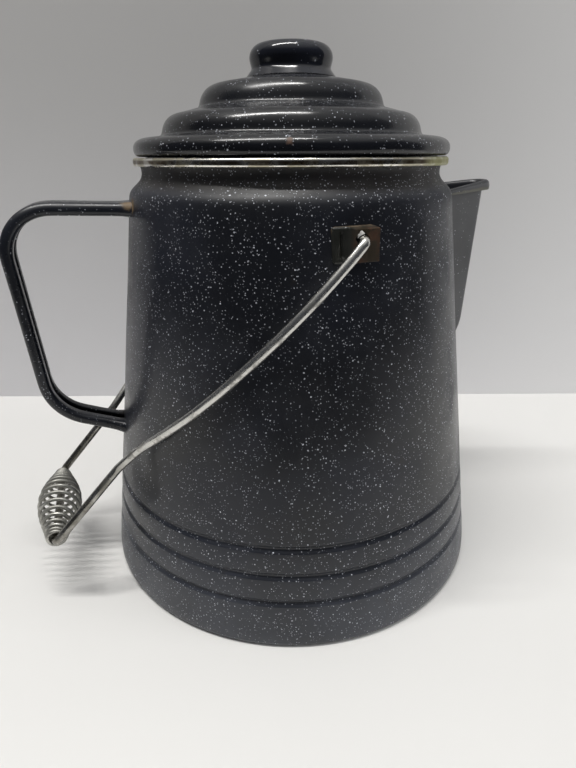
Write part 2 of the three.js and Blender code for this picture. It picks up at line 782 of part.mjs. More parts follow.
const ear = bailEar();
addPart('body_shell', bodyShell(), enamel);
addPart('base_pan', basePan(), enamel);
addPart('rim_band', rimBand(), stainless);
addPart('spout_shell', spoutShell(), enamel);
addPart('handle_strap', handleStrap(), enamel);
addPart('bail_ear_right', ear, scorched);
addPart('bail_ear_left', mirrored(ear), scorched);
addPart('bail_wire', bailWire(), galvanised);
addPart('coil_grip', coilGrip(), galvanised);
addPart('lid_shell', lidShell(), enamel);
addPart('lid_skirt', lidSkirt(), enamel);
addPart('lid_knob', lidKnob(), enamel);

export default group;
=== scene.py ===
"""Looks of an enamelled coffee pot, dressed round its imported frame.

Shapes are worked out in millimetres, in the frame's own axes: +Z up, the spout along +X,
the strap handle along -X, and the bail's ears at +Y and -Y. They become metres only where
a mesh or a material is made.
"""

import json
import logging
import math
from dataclasses import dataclass, field
from enum import Enum
from functools import cache, cached_property, reduce

import bpy
import numpy as np
from mathutils import Matrix, Vector


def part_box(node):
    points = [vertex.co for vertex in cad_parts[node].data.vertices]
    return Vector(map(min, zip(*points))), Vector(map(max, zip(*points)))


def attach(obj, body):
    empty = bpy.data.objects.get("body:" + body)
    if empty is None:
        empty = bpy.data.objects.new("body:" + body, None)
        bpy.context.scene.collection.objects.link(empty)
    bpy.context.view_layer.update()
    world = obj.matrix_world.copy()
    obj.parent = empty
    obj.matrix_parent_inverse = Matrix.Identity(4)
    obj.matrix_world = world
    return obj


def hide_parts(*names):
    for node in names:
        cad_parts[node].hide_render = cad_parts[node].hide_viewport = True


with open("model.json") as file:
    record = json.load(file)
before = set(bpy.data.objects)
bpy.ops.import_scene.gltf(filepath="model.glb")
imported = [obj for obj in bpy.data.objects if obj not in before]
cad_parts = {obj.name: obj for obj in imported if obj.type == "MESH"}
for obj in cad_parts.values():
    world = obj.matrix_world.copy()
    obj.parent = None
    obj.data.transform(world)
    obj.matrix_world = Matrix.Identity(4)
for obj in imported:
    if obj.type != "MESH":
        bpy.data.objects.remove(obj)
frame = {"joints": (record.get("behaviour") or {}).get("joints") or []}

log = logging.getLogger("coffee_pot")

MM = 0.001
TINY = 1e-9
SHARP_DEGREES = 40.0
ACROSS = np.array([0.0, 1.0, 0.0])
Array = np.ndarray
Colour = tuple[float, float, float, float]
Place = tuple[float, float, float]
Pair = tuple[float, float]
Socket = bpy.types.NodeSocket
Material = bpy.types.Material


class Body(Enum):
    """The bodies that pieces ride on."""

    POT = "pot"
    BAIL = "bail"
    GRIP = "grip"
    LID = "lid"


def span_of(node: str) -> tuple[Array, Array]:
    """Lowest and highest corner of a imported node, in millimetres."""
    low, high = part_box(node)
    return np.array(low) / MM, np.array(high) / MM


def hinge_place(name: str) -> Array:
    """Place of a joint of the frame, in millimetres."""
    joint = next(j for j in frame["joints"] if j["name"] == name)
    return np.array(joint["pos_m"]) / MM


# Outlines and paths


def lerp(start: float | Array, end: float | Array, share: float | Array) -> float | Array:
    """Value a share of the way from start to end."""
    return start + (end - start) * share


def ramp(value: Array, low: float, high: float) -> Array:
    """Smooth step: 0 below low, 1 above high, and 3t^2 - 2t^3 between them."""
    share = np.clip((value - low) / (high - low), 0, 1)
    return share * share * (3 - 2 * share)


def lengths_along(points: Array) -> Array:
    """Length of a line up to each of its points."""
    return np.concatenate([[0], np.cumsum(np.linalg.norm(np.diff(points, axis=0), axis=1))])


def read_at(points: Array, marks: Array, wanted: Array) -> Array:
    """Points of a line at wanted marks, straight between the marks that it has."""
    return np.stack([np.interp(wanted, marks, column) for column in points.T], axis=1)


def softened(points: Array, reach: float, step: float = 0.25) -> Array:
    """Evenly spaced copy of an open line with its corners rounded.

    Each point becomes the bell-weighted average of those near it, and past either end the
    line goes on as its own half turn, so both ends stay where they are.

    Args:
        points: the line, one point a row.
        reach: standard deviation of the bell, in millimetres.
        step: spacing of the copy's points.

    Returns:
        The rounded line.
    """
    points = np.asarray(points, float)
    marks = lengths_along(points)
    count = max(int(marks[-1] / step), 12)
    even = read_at(points, marks, np.linspace(0, marks[-1], count + 1))
    spacing = marks[-1] / count
    half = min(max(int(3 * reach / spacing), 1), count - 1)
    weights = np.exp(-0.5 * (np.arange(-half, half + 1) * spacing / reach) ** 2)
    weights /= weights.sum()
    before = 2 * even[0] - even[half:0:-1]
    after = 2 * even[-1] - even[-2:-half - 2:-1]
    padded = np.concatenate([before, even, after])
    return np.stack([np.convolve(column, weights, mode="valid") for column in padded.T], axis=1)


def thinned(points: Array, turn: float = 0.08, longest: float = 6.0) -> Array:
    """Fewer points along a fine line: one for each small turn and for each long stretch.

    The need for points grows by the turn over the turn allowed, plus the length over the
    longest stretch, and a point is read wherever that sum passes a whole number.

    Args:
        points: the line, one point a row.
        turn: the turn allowed between two points, in radians.
        longest: the longest stretch without a point.

    Returns:
        The line with fewer points.
    """
    steps = np.diff(points, axis=0)
    lengths = np.linalg.norm(steps, axis=1)
    directions = steps / np.maximum(lengths, TINY)[:, None]
    cosines = np.clip((directions[1:] * directions[:-1]).sum(axis=1), -1, 1)
    turning = np.concatenate([[0], np.arccos(cosines)])
    need = np.concatenate([[0], np.cumsum(lengths / longest + turning / turn)])
    return read_at(points, need, np.linspace(0, need[-1], math.ceil(need[-1]) + 1))


def directions_along(path: Array) -> Array:
    """Unit direction of a path at each of its points."""
    along = np.gradient(path, axis=0)
    return along / np.linalg.norm(along, axis=1)[:, None]


def offset_outline(points: Array, distance: float) -> Array:
    """An open outline moved to its left, as it is walked, by an even distance."""
    along = directions_along(points)
    return points + distance * np.stack([-along[:, 1], along[:, 0]], axis=1)


def arc(centre: Pair, radii: float | Pair, start: float, end: float, count: int = 12) -> Array:
    """Points of a circle or an ellipse about a centre, from one angle to another in degrees."""
    angles = np.radians(np.linspace(start, end, count + 1))
    return np.array(centre) + np.array(radii) * np.stack([np.cos(angles), np.sin(angles)], axis=1)


def spline_through(guides: Array, each: int = 12) -> Array:
    """Catmull-Rom curve through guide points: a cubic between two, led by their neighbours.

    Args:
        guides: the guide points, one a row.
        each: how many points the curve has from one guide to the next.

    Returns:
        The curve, one point a row.
    """
    ends = np.concatenate([guides[:1], guides, guides[-1:]])
    share = np.linspace(0, 1, each, endpoint=False)[None, :, None]
    a, b, c, d = (ends[i:len(ends) - 3 + i, None, :] for i in range(4))
    curve = 0.5 * (2 * b + (c - a) * share + (2 * a - 5 * b + 4 * c - d) * share ** 2
                   + (3 * b - a - 3 * c + d) * share ** 3)
    return np.concatenate([curve.reshape(-1, guides.shape[1]), guides[-1:]])


def round_section(radius: float, sides: int) -> Array:
    """Points of a circle about the origin."""
    angles = np.linspace(0, 2 * math.pi, sides, endpoint=False)
    return radius * np.stack([np.cos(angles), np.sin(angles)], axis=1)


def rounded_box(half_x: float, half_y: float, radius: float, count: int = 8) -> Array:
    """Outline of a box about the origin, with rounded corners.

    Args:
        half_x: half of its first side.
        half_y: half of its second side.
        radius: radius of its corners.
        count: steps of each corner.

    Returns:
        Its points, one a row, from the side at +x round to the same side.
    """
    x, y = half_x - radius, half_y - radius
    middles = ((x, y), (-x, y), (-x, -y), (x, -y))
    return np.concatenate([arc(middle, radius, 90 * i, 90 * (i + 1), count)
                           for i, middle in enumerate(middles)])


# Surfaces


@dataclass
class Skin:
    """A closed surface: its points, four-sided faces, other faces, and values on its points."""

    points: Array
    quads: Array
    caps: list[Array] = field(default_factory=list)
    values: dict[str, Array] = field(default_factory=dict)

    def volume(self) -> float:
        """Signed volume, from the tetrahedra between each face's triangles and the origin.

        Returns:
            The volume, above 0 where the faces look outwards.
        """
        fans = [self.quads[:, [0, 1, 2]], self.quads[:, [0, 2, 3]]]
        for cap in self.caps:
            first = np.full(len(cap) - 2, cap[0])
            fans.append(np.stack([first, cap[1:-1], cap[2:]], axis=1))
        a, b, c = np.moveaxis(self.points[np.concatenate(fans)], 1, 0)
        return float((a * np.cross(b, c)).sum() / 6)

    def piece(self, name: str) -> bpy.types.Object:
        """Makes the Blender object, with its faces outwards.

        Args:
            name: the piece's name.

        Returns:
            The object, at the origin, with its place in its mesh.
        """
        outward = self.volume() > 0
        quads = self.quads if outward else self.quads[:, ::-1]
        caps = self.caps if outward else [cap[::-1] for cap in self.caps]
        corners = np.concatenate([quads.ravel(), *caps]).astype(np.int32)
        sizes = np.concatenate([np.full(len(quads), 4), [len(cap) for cap in caps]]).astype(np.int32)
        starts = np.concatenate([[0], np.cumsum(sizes)[:-1]]).astype(np.int32)
        mesh = bpy.data.meshes.new(name)
        mesh.vertices.add(len(self.points))
        mesh.vertices.foreach_set("co", (self.points * MM).astype(np.float32).ravel())
        mesh.loops.add(len(corners))
        mesh.loops.foreach_set("vertex_index", corners)
        mesh.polygons.add(len(sizes))
        mesh.polygons.foreach_set("loop_start", starts)
        for value_name, values in self.values.items():
            kind, slot = ("FLOAT", "value") if values.ndim == 1 else ("FLOAT_VECTOR", "vector")
            attribute = mesh.attributes.new(value_name, kind, "POINT")
            attribute.data.foreach_set(slot, values.astype(np.float32).ravel())
        mesh.update(calc_edges=True)
        mesh.validate()
        mesh.polygons.foreach_set("use_smooth", np.ones(len(mesh.polygons), bool))
        mesh.set_sharp_from_angle(angle=math.radians(SHARP_DEGREES))
        return placed(name, mesh)


def placed(name: str, data: bpy.types.ID) -> bpy.types.Object:
    """Makes an object of a mesh, lamp or camera, and puts it into the scene."""
    made = bpy.data.objects.new(name, data)
    bpy.context.scene.collection.objects.link(made)
    return made


def cut_out(whole: bpy.types.Object, cutter: bpy.types.Object) -> None:
    """Takes one piece's space out of another for good, and deletes the first.

    Args:
        whole: the piece that is cut.
        cutter: the piece that cuts it.
    """
    cut = whole.modifiers.new("cut", "BOOLEAN")
    cut.operation = "DIFFERENCE"
    cut.object = cutter
    graph = bpy.context.evaluated_depsgraph_get()
    whole.data = bpy.data.meshes.new_from_object(whole.evaluated_get(graph))
    whole.modifiers.clear()
    whole.data.set_sharp_from_angle(angle=math.radians(SHARP_DEGREES))
    bpy.data.objects.remove(cutter)


def grid_quads(rows: int, columns: int, wrap_rows: bool, wrap_columns: bool) -> Array:
    """Corners of each face between neighbouring rows and columns of a grid of points.

    Args:
        rows: how many rows the grid has.
        columns: how many columns it has.
        wrap_rows: whether the last row is joined to the first.
        wrap_columns: whether the last column is joined to the first.

    Returns:
        Four point numbers for each face.
    """
    i = np.arange(rows if wrap_rows else rows - 1)[:, None]
    j = np.arange(columns if wrap_columns else columns - 1)[None, :]
    next_i, next_j = (i + 1) % rows, (j + 1) % columns
    corners = [i * columns + j, i * columns + next_j, next_i * columns + next_j, next_i * columns + j]
    return np.stack([np.broadcast_to(c, (i.size, j.size)) for c in corners], axis=-1).reshape(-1, 4)


def revolved(profile: Array, segments: int, closed: bool = True) -> Skin:
    """Turns an outline of radius and height about the pot's axis.

    A point at height z and angle t lies at (r cos t, r sin t, z).

    Args:
        profile: radius and height, one pair a row.
        segments: how many steps the turn has.
        closed: whether the outline closes on itself; otherwise it starts and ends on the axis.

    Returns:
        The turned surface.
    """
    angles = np.linspace(0, 2 * math.pi, segments, endpoint=False)
    rings = profile if closed else profile[1:-1]
    around = np.stack([np.cos(angles), np.sin(angles)], axis=1)
    flat = rings[:, 0, None, None] * around[None]
    height = np.broadcast_to(rings[:, 1, None, None], (len(rings), segments, 1))
    points = np.concatenate([flat, height], axis=2).reshape(-1, 3)
    quads = grid_quads(len(rings), segments, closed, True)
    caps = []
    if not closed:
        poles = [[0, 0, profile[0, 1]], [0, 0, profile[-1, 1]]]
        first, last = len(points), len(points) + 1
        points = np.concatenate([points, poles])
        ring = np.arange(segments)
        following = (ring + 1) % segments
        end = (len(rings) - 1) * segments
        caps += list(np.stack([np.full(segments, first), following, ring], axis=1))
        caps += list(np.stack([np.full(segments, last), end + ring, end + following], axis=1))
    return Skin(points, quads, caps)


def swept(path: Array, sections: Array, side: Array) -> Skin:
    """Carries a section along a path.

    A section's first number goes along the path's normal, which is the side crossed with the
    direction of travel, and its second number goes along the side.

    Args:
        path: points of the path.
        sections: one closed section, or one for each point of the path.
        side: unit vector square to the path, or one for each point of it.

    Returns:
        The closed surface, with its straightened place in metres as the value "along".
    """
    sides = np.broadcast_to(side, path.shape)
    normals = np.cross(sides, directions_along(path))
    normals /= np.linalg.norm(normals, axis=1)[:, None]
    sections = np.broadcast_to(sections, (len(path), *sections.shape[-2:]))
    grid = (path[:, None, :] + sections[..., 0, None] * normals[:, None, :]
            + sections[..., 1, None] * sides[:, None, :])
    rows, columns = grid.shape[:2]
    lengths = np.broadcast_to(lengths_along(path)[:, None, None], (rows, columns, 1))
    straight = np.concatenate([sections, lengths], axis=2).reshape(-1, 3) * MM
    caps = [np.arange(columns)[::-1], (rows - 1) * columns + np.arange(columns)]
    return Skin(grid.reshape(-1, 3), grid_quads(rows, columns, False, True), caps, {"along": straight})


def walled(outer: Array, inner: Array) -> Skin:
    """Closed shell between two grids of points of the same size, joined along all four edges.

    Args:
        outer: points of the outer side, by row and column.
        inner: points of the inner side.

    Returns:
        The shell, with the outer side's points first.
    """
    rows, columns = outer.shape[:2]
    count = rows * columns
    face = grid_quads(rows, columns, False, False)
    index = np.arange(count).reshape(rows, columns)
    rim = np.concatenate([index[0], index[1:, -1], index[-1, -2::-1], index[-2:0:-1, 0]])
    following = np.roll(rim, -1)
    edge = np.stack([rim, rim + count, following + count, following], axis=1)
    quads = np.concatenate([face, face[:, ::-1] + count, edge])
    return Skin(np.concatenate([outer.reshape(-1, 3), inner.reshape(-1, 3)]), quads)


@dataclass(frozen=True)
class Wave:
    """A slow wave in sheet metal, at angle t and height z: h sin(n t + p) sin(z / c + q)."""

    height: float
    count: int
    phase: float = 0.0
    climb: float | None = None
    climb_phase: float = 0.0

    def at(self, turn: Array, level: Array) -> Array:
        """Height of the wave, which has no second sine where it has no climb."""
        wave = self.height * np.sin(self.count * turn + self.phase)
        return wave if self.climb is None else wave * np.sin(level / self.climb + self.climb_phase)


def waves_at(waves: tuple[Wave, ...], turn: Array, level: Array) -> Array:
    """Height of several waves together."""
    return sum(wave.at(turn, level) for wave in waves)


def moved_out(skin: Skin, distance: Array) -> Skin:
    """Moves each point of a surface away from the pot's axis by its own distance."""
    x, y, z = skin.points.T
    factor = 1 + distance / np.maximum(np.hypot(x, y), TINY)
    skin.points = np.stack([x * factor, y * factor, z], axis=1)
    return skin


@dataclass(frozen=True)
class Unevenness:
    """The slow unevenness of the pot's pressed sheet, which fades at its axis and its foot."""

    amount: float = 0.12
    waves: tuple[Wave, ...] = (Wave(1.0, 5, 0.7, 23.0, 1.2), Wave(0.6, 9, 2.1, 13.0))
    fade_radii: Pair = (10.0, 40.0)
    fade_levels: Pair = (2.0, 30.0)

    def put_on(self, skin: Skin) -> Skin:
        """Moves points in and out by their angle and height, so both faces of a sheet move alike.

        Args:
            skin: the surface, which is changed.

        Returns:
            The same surface.
        """
        x, y, z = skin.points.T
        move = self.amount * waves_at(self.waves, np.arctan2(y, x), z)
        fade = ramp(np.hypot(x, y), *self.fade_radii) * ramp(z, *self.fade_levels)
        return moved_out(skin, move * fade)


def dress(made: bpy.types.Object, body: Body, finish: Material,
          nodes: tuple[str, ...] = ()) -> None:
    """Gives a piece its place among the bodies, and its looks.

    Args:
        made: the piece.
        body: the body that it rides on.
        finish: its material.
        nodes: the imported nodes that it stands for.
    """
    made.data.materials.append(finish)
    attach(made, body.value)
    if nodes:
        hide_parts(*nodes)
    log.info("%s: %d faces, on %s", made.name, len(made.data.polygons), body.value)


# Shader nodes


class Nodes:
    """Adds nodes to one tree, with a value or a link for each named input."""

    def __init__(self, tree: bpy.types.NodeTree) -> None:
        """Takes the tree that the nodes go into."""
        self.tree = tree

    def feed(self, socket: Socket, value: object) -> None:
        """Links another node's output to an input, or sets the input's own value."""
        if isinstance(value, Socket):
            self.tree.links.new(value, socket)
        else:
            socket.default_value = value

    def add(self, kind: str, inputs: dict | None = None, **settings: object) -> bpy.types.Node:
        """Adds one node.

        Args:
            kind: the node's type.
            inputs: a value, or another node's output, for each input by name or number.
            settings: the node's own settings.

        Returns:
            The node.
        """
        node = self.tree.nodes.new(kind)
        for name, value in settings.items():
            setattr(node, name, value)
        for key, value in (inputs or {}).items():
            self.feed(node.inputs[key], value)
        return node

    def math(self, operation: str, *values: object) -> Socket:
        """Output of a Math node on one, two or three values."""
        return self.add("ShaderNodeMath", dict(enumerate(values)), operation=operation).outputs[0]

    def times(self, first: object, second: object) -> Socket:
        """Product of two values."""
        return self.math("MULTIPLY", first, second)

    def line(self, value: object, slope: object, base: object) -> Socket:
        """A value times a slope, plus a base."""
        return self.math("MULTIPLY_ADD", value, slope, base)

    def largest(self, values: list[Socket]) -> Socket:
        """Largest of one value or more."""
        return reduce(lambda first, second: self.math("MAXIMUM", first, second), values)

    def vector(self, operation: str, *values: object) -> Socket:
        """Vector output of a Vector Math node."""
        return self.add("ShaderNodeVectorMath", dict(enumerate(values)), operation=operation).outputs[0]

    def measure(self, operation: str, first: object, second: object) -> Socket:
        """Number that a Vector Math node gives for two vectors."""
        inputs = {0: first, 1: second}
        return self.add("ShaderNodeVectorMath", inputs, operation=operation).outputs["Value"]

    def mask(self, group: bpy.types.NodeTree, **inputs: object) -> Socket:
        """Mask of a shared group placed here, with a value or a link for each named input."""
        made = self.add("ShaderNodeGroup", node_tree=group)
        for key, value in inputs.items():
            self.feed(made.inputs[key.capitalize()], value)
        return made.outputs["Mask"]

    def level(self, place: object) -> Socket:
        """Height of a place, which is its third number."""
        return self.add("ShaderNodeSeparateXYZ", {0: place}).outputs[2]

    def mix(self, share: object, start: object, end: object, strength_share: float = 1.0) -> Socket:
        """Colour a share of the way from start to end, or less where its strength is less."""
        share = share if strength_share == 1.0 else self.times(share, strength_share)
        return self.add("ShaderNodeMix", {0: share, 6: start, 7: end}, data_type="RGBA").outputs[2]

    def ramp(self, value: object, low: object, high: object, start: object = 0.0,
             end: object = 1.0) -> Socket:
        """Smooth step of a value from start, at low, to end, at high."""
        inputs = {"Value": value, "From Min": low, "From Max": high, "To Min": start, "To Max": end}
        return self.add("ShaderNodeMapRange", inputs, interpolation_type="SMOOTHSTEP").outputs[0]

    def noise(self, place: object, size: object, detail: float = 2.0, roughness: float = 0.5,
              output: str | int = 0) -> Socket:
        """Noise whose lumps are about a size across, in metres."""
        scale = self.math("DIVIDE", 1.0, size)
        inputs = {"Vector": place, "Scale": scale, "Detail": detail, "Roughness": roughness}
        return self.add("ShaderNodeTexNoise", inputs).outputs[output]

    def broken(self, mask: object, cloud: object, least_share: float) -> Socket:
        """A mask that the thin parts of a cloud leave only a least share of."""
        thin, thick = 0.3, 0.6
        return self.times(mask, self.ramp(cloud, thin, thick, least_share, 1.0))


class Group:
    """A node group under construction, with named inputs and outputs."""

    def __init__(self, name: str, inputs: dict[str, str]) -> None:
        """Makes the group.

        Args:
            name: the group's name.
            inputs: the kind of each input, by its name.
        """
        self.tree = bpy.data.node_groups.new(name, "ShaderNodeTree")
        for socket, kind in inputs.items():
            self.tree.interface.new_socket(socket, in_out="INPUT", socket_type=f"NodeSocket{kind}")
        self.tree.interface.new_socket("Mask", in_out="OUTPUT", socket_type="NodeSocketFloat")
        self.nodes = Nodes(self.tree)
        self.inputs = self.nodes.add("NodeGroupInput").outputs
        self.ends = self.nodes.add("NodeGroupOutput").inputs

    def give(self, mask: Socket) -> bpy.types.NodeTree:
        """Links a value to the group's one output, its mask, and returns the group."""
        self.tree.links.new(mask, self.ends["Mask"])
        return self.tree


@cache
def speck_group() -> bpy.types.NodeTree:
    """Pale specks of random size in a cloud of cells: a disc round each cell's point.

    A cell holds a speck where its random number lies under the share, which slow noise
    raises and lowers, and a little noise bends each disc out of round.

    Returns:
        The group.
    """
    bend_size_radii = 2.2
    bend_reach_radii = 1.9
    core_share = 0.45
    cluster_size_spacings = 7.0
    group = Group("specks", {"Vector": "Vector", "Spacing": "Float", "Radius": "Float", "Share": "Float"})
    nodes, given = group.nodes, group.inputs
    spacing, radius = given["Spacing"], given["Radius"]
    bend = nodes.noise(given["Vector"], nodes.times(radius, bend_size_radii), 1.0, output="Color")
    shift = nodes.vector("SUBTRACT", bend, (0.5, 0.5, 0.5))
    reach = nodes.times(radius, bend_reach_radii)
    moved = nodes.add("ShaderNodeVectorMath", {0: shift, 3: reach}, operation="SCALE").outputs[0]
    place = nodes.vector("ADD", given["Vector"], moved)
    scale = nodes.math("DIVIDE", 1.0, spacing)
    cells = nodes.add("ShaderNodeTexVoronoi", {"Vector": place, "Scale": scale})
    chance = nodes.add("ShaderNodeSeparateColor", {0: cells.outputs["Color"]}).outputs
    distance = nodes.times(cells.outputs["Distance"], spacing)
    size = nodes.times(radius, nodes.ramp(chance[0], low=0.0, high=1.0, start=0.5, end=1.25))
    disc = nodes.ramp(distance, size, nodes.times(size, core_share))
    cluster = nodes.noise(given["Vector"], nodes.times(spacing, cluster_size_spacings), 2.0)
    share = nodes.times(given["Share"], nodes.ramp(cluster, low=0.3, high=0.7, start=0.45, end=1.5))
    held = nodes.math("LESS_THAN", chance[1], share)
    bright = nodes.ramp(chance[2], low=0.0, high=1.0, start=0.35, end=1.0)
    return group.give(nodes.times(nodes.times(disc, held), bright))


@cache
def patch_group() -> bpy.types.NodeTree:
    """Soft uneven patches: slow noise with fine noise on its edges, past a threshold.

    Returns:
        The group.
    """
    slope, base, softness = 0.6, 0.14, 0.13
    group = Group("patches", {"Vector": "Vector", "Size": "Float", "Cover": "Float"})
    nodes, given = group.nodes, group.inputs
    lumps = nodes.noise(given["Vector"], given["Size"], 5.0, 0.62)
    low = nodes.line(nodes.math("SUBTRACT", 1.0, given["Cover"]), slope, base)
    return group.give(nodes.ramp(lumps, low, nodes.math("ADD", low, softness)))


@cache
def spot_group() -> bpy.types.NodeTree:
    """A ragged spot about one place: distance from it, bent by noise, under a radius.

    Returns:
        The group.
    """
    bend_size_radii = 0.7
    bend_reach_radii = 1.6
    core_share = 0.35
    group = Group("spot", {"Vector": "Vector", "Place": "Vector", "Radius": "Float"})
    nodes, given = group.nodes, group.inputs
    radius = given["Radius"]
    lumps = nodes.noise(given["Vector"], nodes.times(radius, bend_size_radii), 3.0, 0.6)
    bend = nodes.math("SUBTRACT", lumps, 0.5)
    away = nodes.measure("DISTANCE", given["Vector"], given["Place"])
    ragged = nodes.line(bend, nodes.times(radius, bend_reach_radii), away)
    return group.give(nodes.ramp(ragged, radius, nodes.times(radius, core_share)))


@cache
def scratch_group() -> bpy.types.NodeTree:
    """Long thin scratches: noise drawn out along the third axis, kept near its middle value.

    Returns:
        The group.
    """
    place_share = 0.9
    base, slope, softness = 0.75, 0.5, 0.08
    group = Group("scratches", {"Vector": "Vector", "Width": "Float", "Length": "Float", "Cover": "Float"})
    nodes, given = group.nodes, group.inputs
    across = nodes.math("DIVIDE", 1.0, given["Width"])
    along = nodes.math("DIVIDE", 1.0, given["Length"])
    scale = nodes.add("ShaderNodeCombineXYZ", {0: across, 1: across, 2: along})
    drawn = nodes.vector("MULTIPLY", given["Vector"], scale.outputs[0])
    lumps = nodes.add("ShaderNodeTexNoise", {"Vector": drawn, "Scale": 1.0, "Detail": 2.0}).outputs[0]
    lines = nodes.ramp(nodes.math("ABSOLUTE", nodes.math("SUBTRACT", lumps, 0.5)), low=0.035, high=0.008)
    place = nodes.noise(given["Vector"], nodes.times(given["Length"], place_share), 2.0)
    edge = nodes.math("SUBTRACT", base, nodes.times(given["Cover"], slope))
    return group.give(nodes.times(lines, nodes.ramp(place, edge, nodes.math("ADD", edge, softness))))


@dataclass(frozen=True)
class Spot:
    """A mark on a finish: its place and radius in millimetres, and its colour."""

    place: Place
    radius: float
    colour: Colour


class Finish:
    """A material under construction: its nodes, and the shader that they lead to."""

    def __init__(self, name: str) -> None:
        """Makes the material with a Principled shader alone."""
        self.material = bpy.data.materials.new(name)
        self.material.use_nodes = True
        tree = self.material.node_tree
        tree.nodes.clear()
        self.nodes = Nodes(tree)
        self.shader = self.nodes.add("ShaderNodeBsdfPrincipled")
        self.output = self.nodes.add("ShaderNodeOutputMaterial", {"Surface": self.shader.outputs[0]})
        self.place = self.nodes.add("ShaderNodeTexCoord").outputs["Object"]

    def set(self, **inputs: object) -> None:
        """Sets or links the shader's inputs, named with underscores for spaces."""
        for key, value in inputs.items():
            self.nodes.feed(self.shader.inputs[key.replace("_", " ")], value)

    def value(self, name: str) -> Socket:
        """A value that the mesh holds on its points."""
        return self.nodes.add("ShaderNodeAttribute", attribute_name=name).outputs["Fac"]

    def vector(self, name: str) -> Socket:
        """A vector that the mesh holds on its points."""
        return self.nodes.add("ShaderNodeAttribute", attribute_name=name).outputs["Vector"]

    def spotted(self, spots: tuple[Spot, ...], colour: Socket,
                strength_share: float) -> tuple[Socket, list[Socket]]:
        """Lays spots over a colour.

        Args:
            spots: the spots.
            colour: the colour below them.
            strength_share: how much of the colour below they hide.

        Returns:
            The colour with its spots, and each spot's mask.
        """
        masks = []
        for spot in spots:
            place = tuple(v * MM for v in spot.place)
            mask = self.nodes.mask(spot_group(), vector=self.place, place=place, radius=spot.radius * MM)
            colour = self.nodes.mix(mask, colour, spot.colour, strength_share)
            masks.append(mask)
        return colour, masks

    def bump(self, height: Socket) -> None:
        """Leads a height in metres to the shader's normal."""
        normal = self.nodes.add("ShaderNodeBump", {"Height": height, "Strength": 1.0, "Distance": 1.0})
        self.set(Normal=normal.outputs[0])


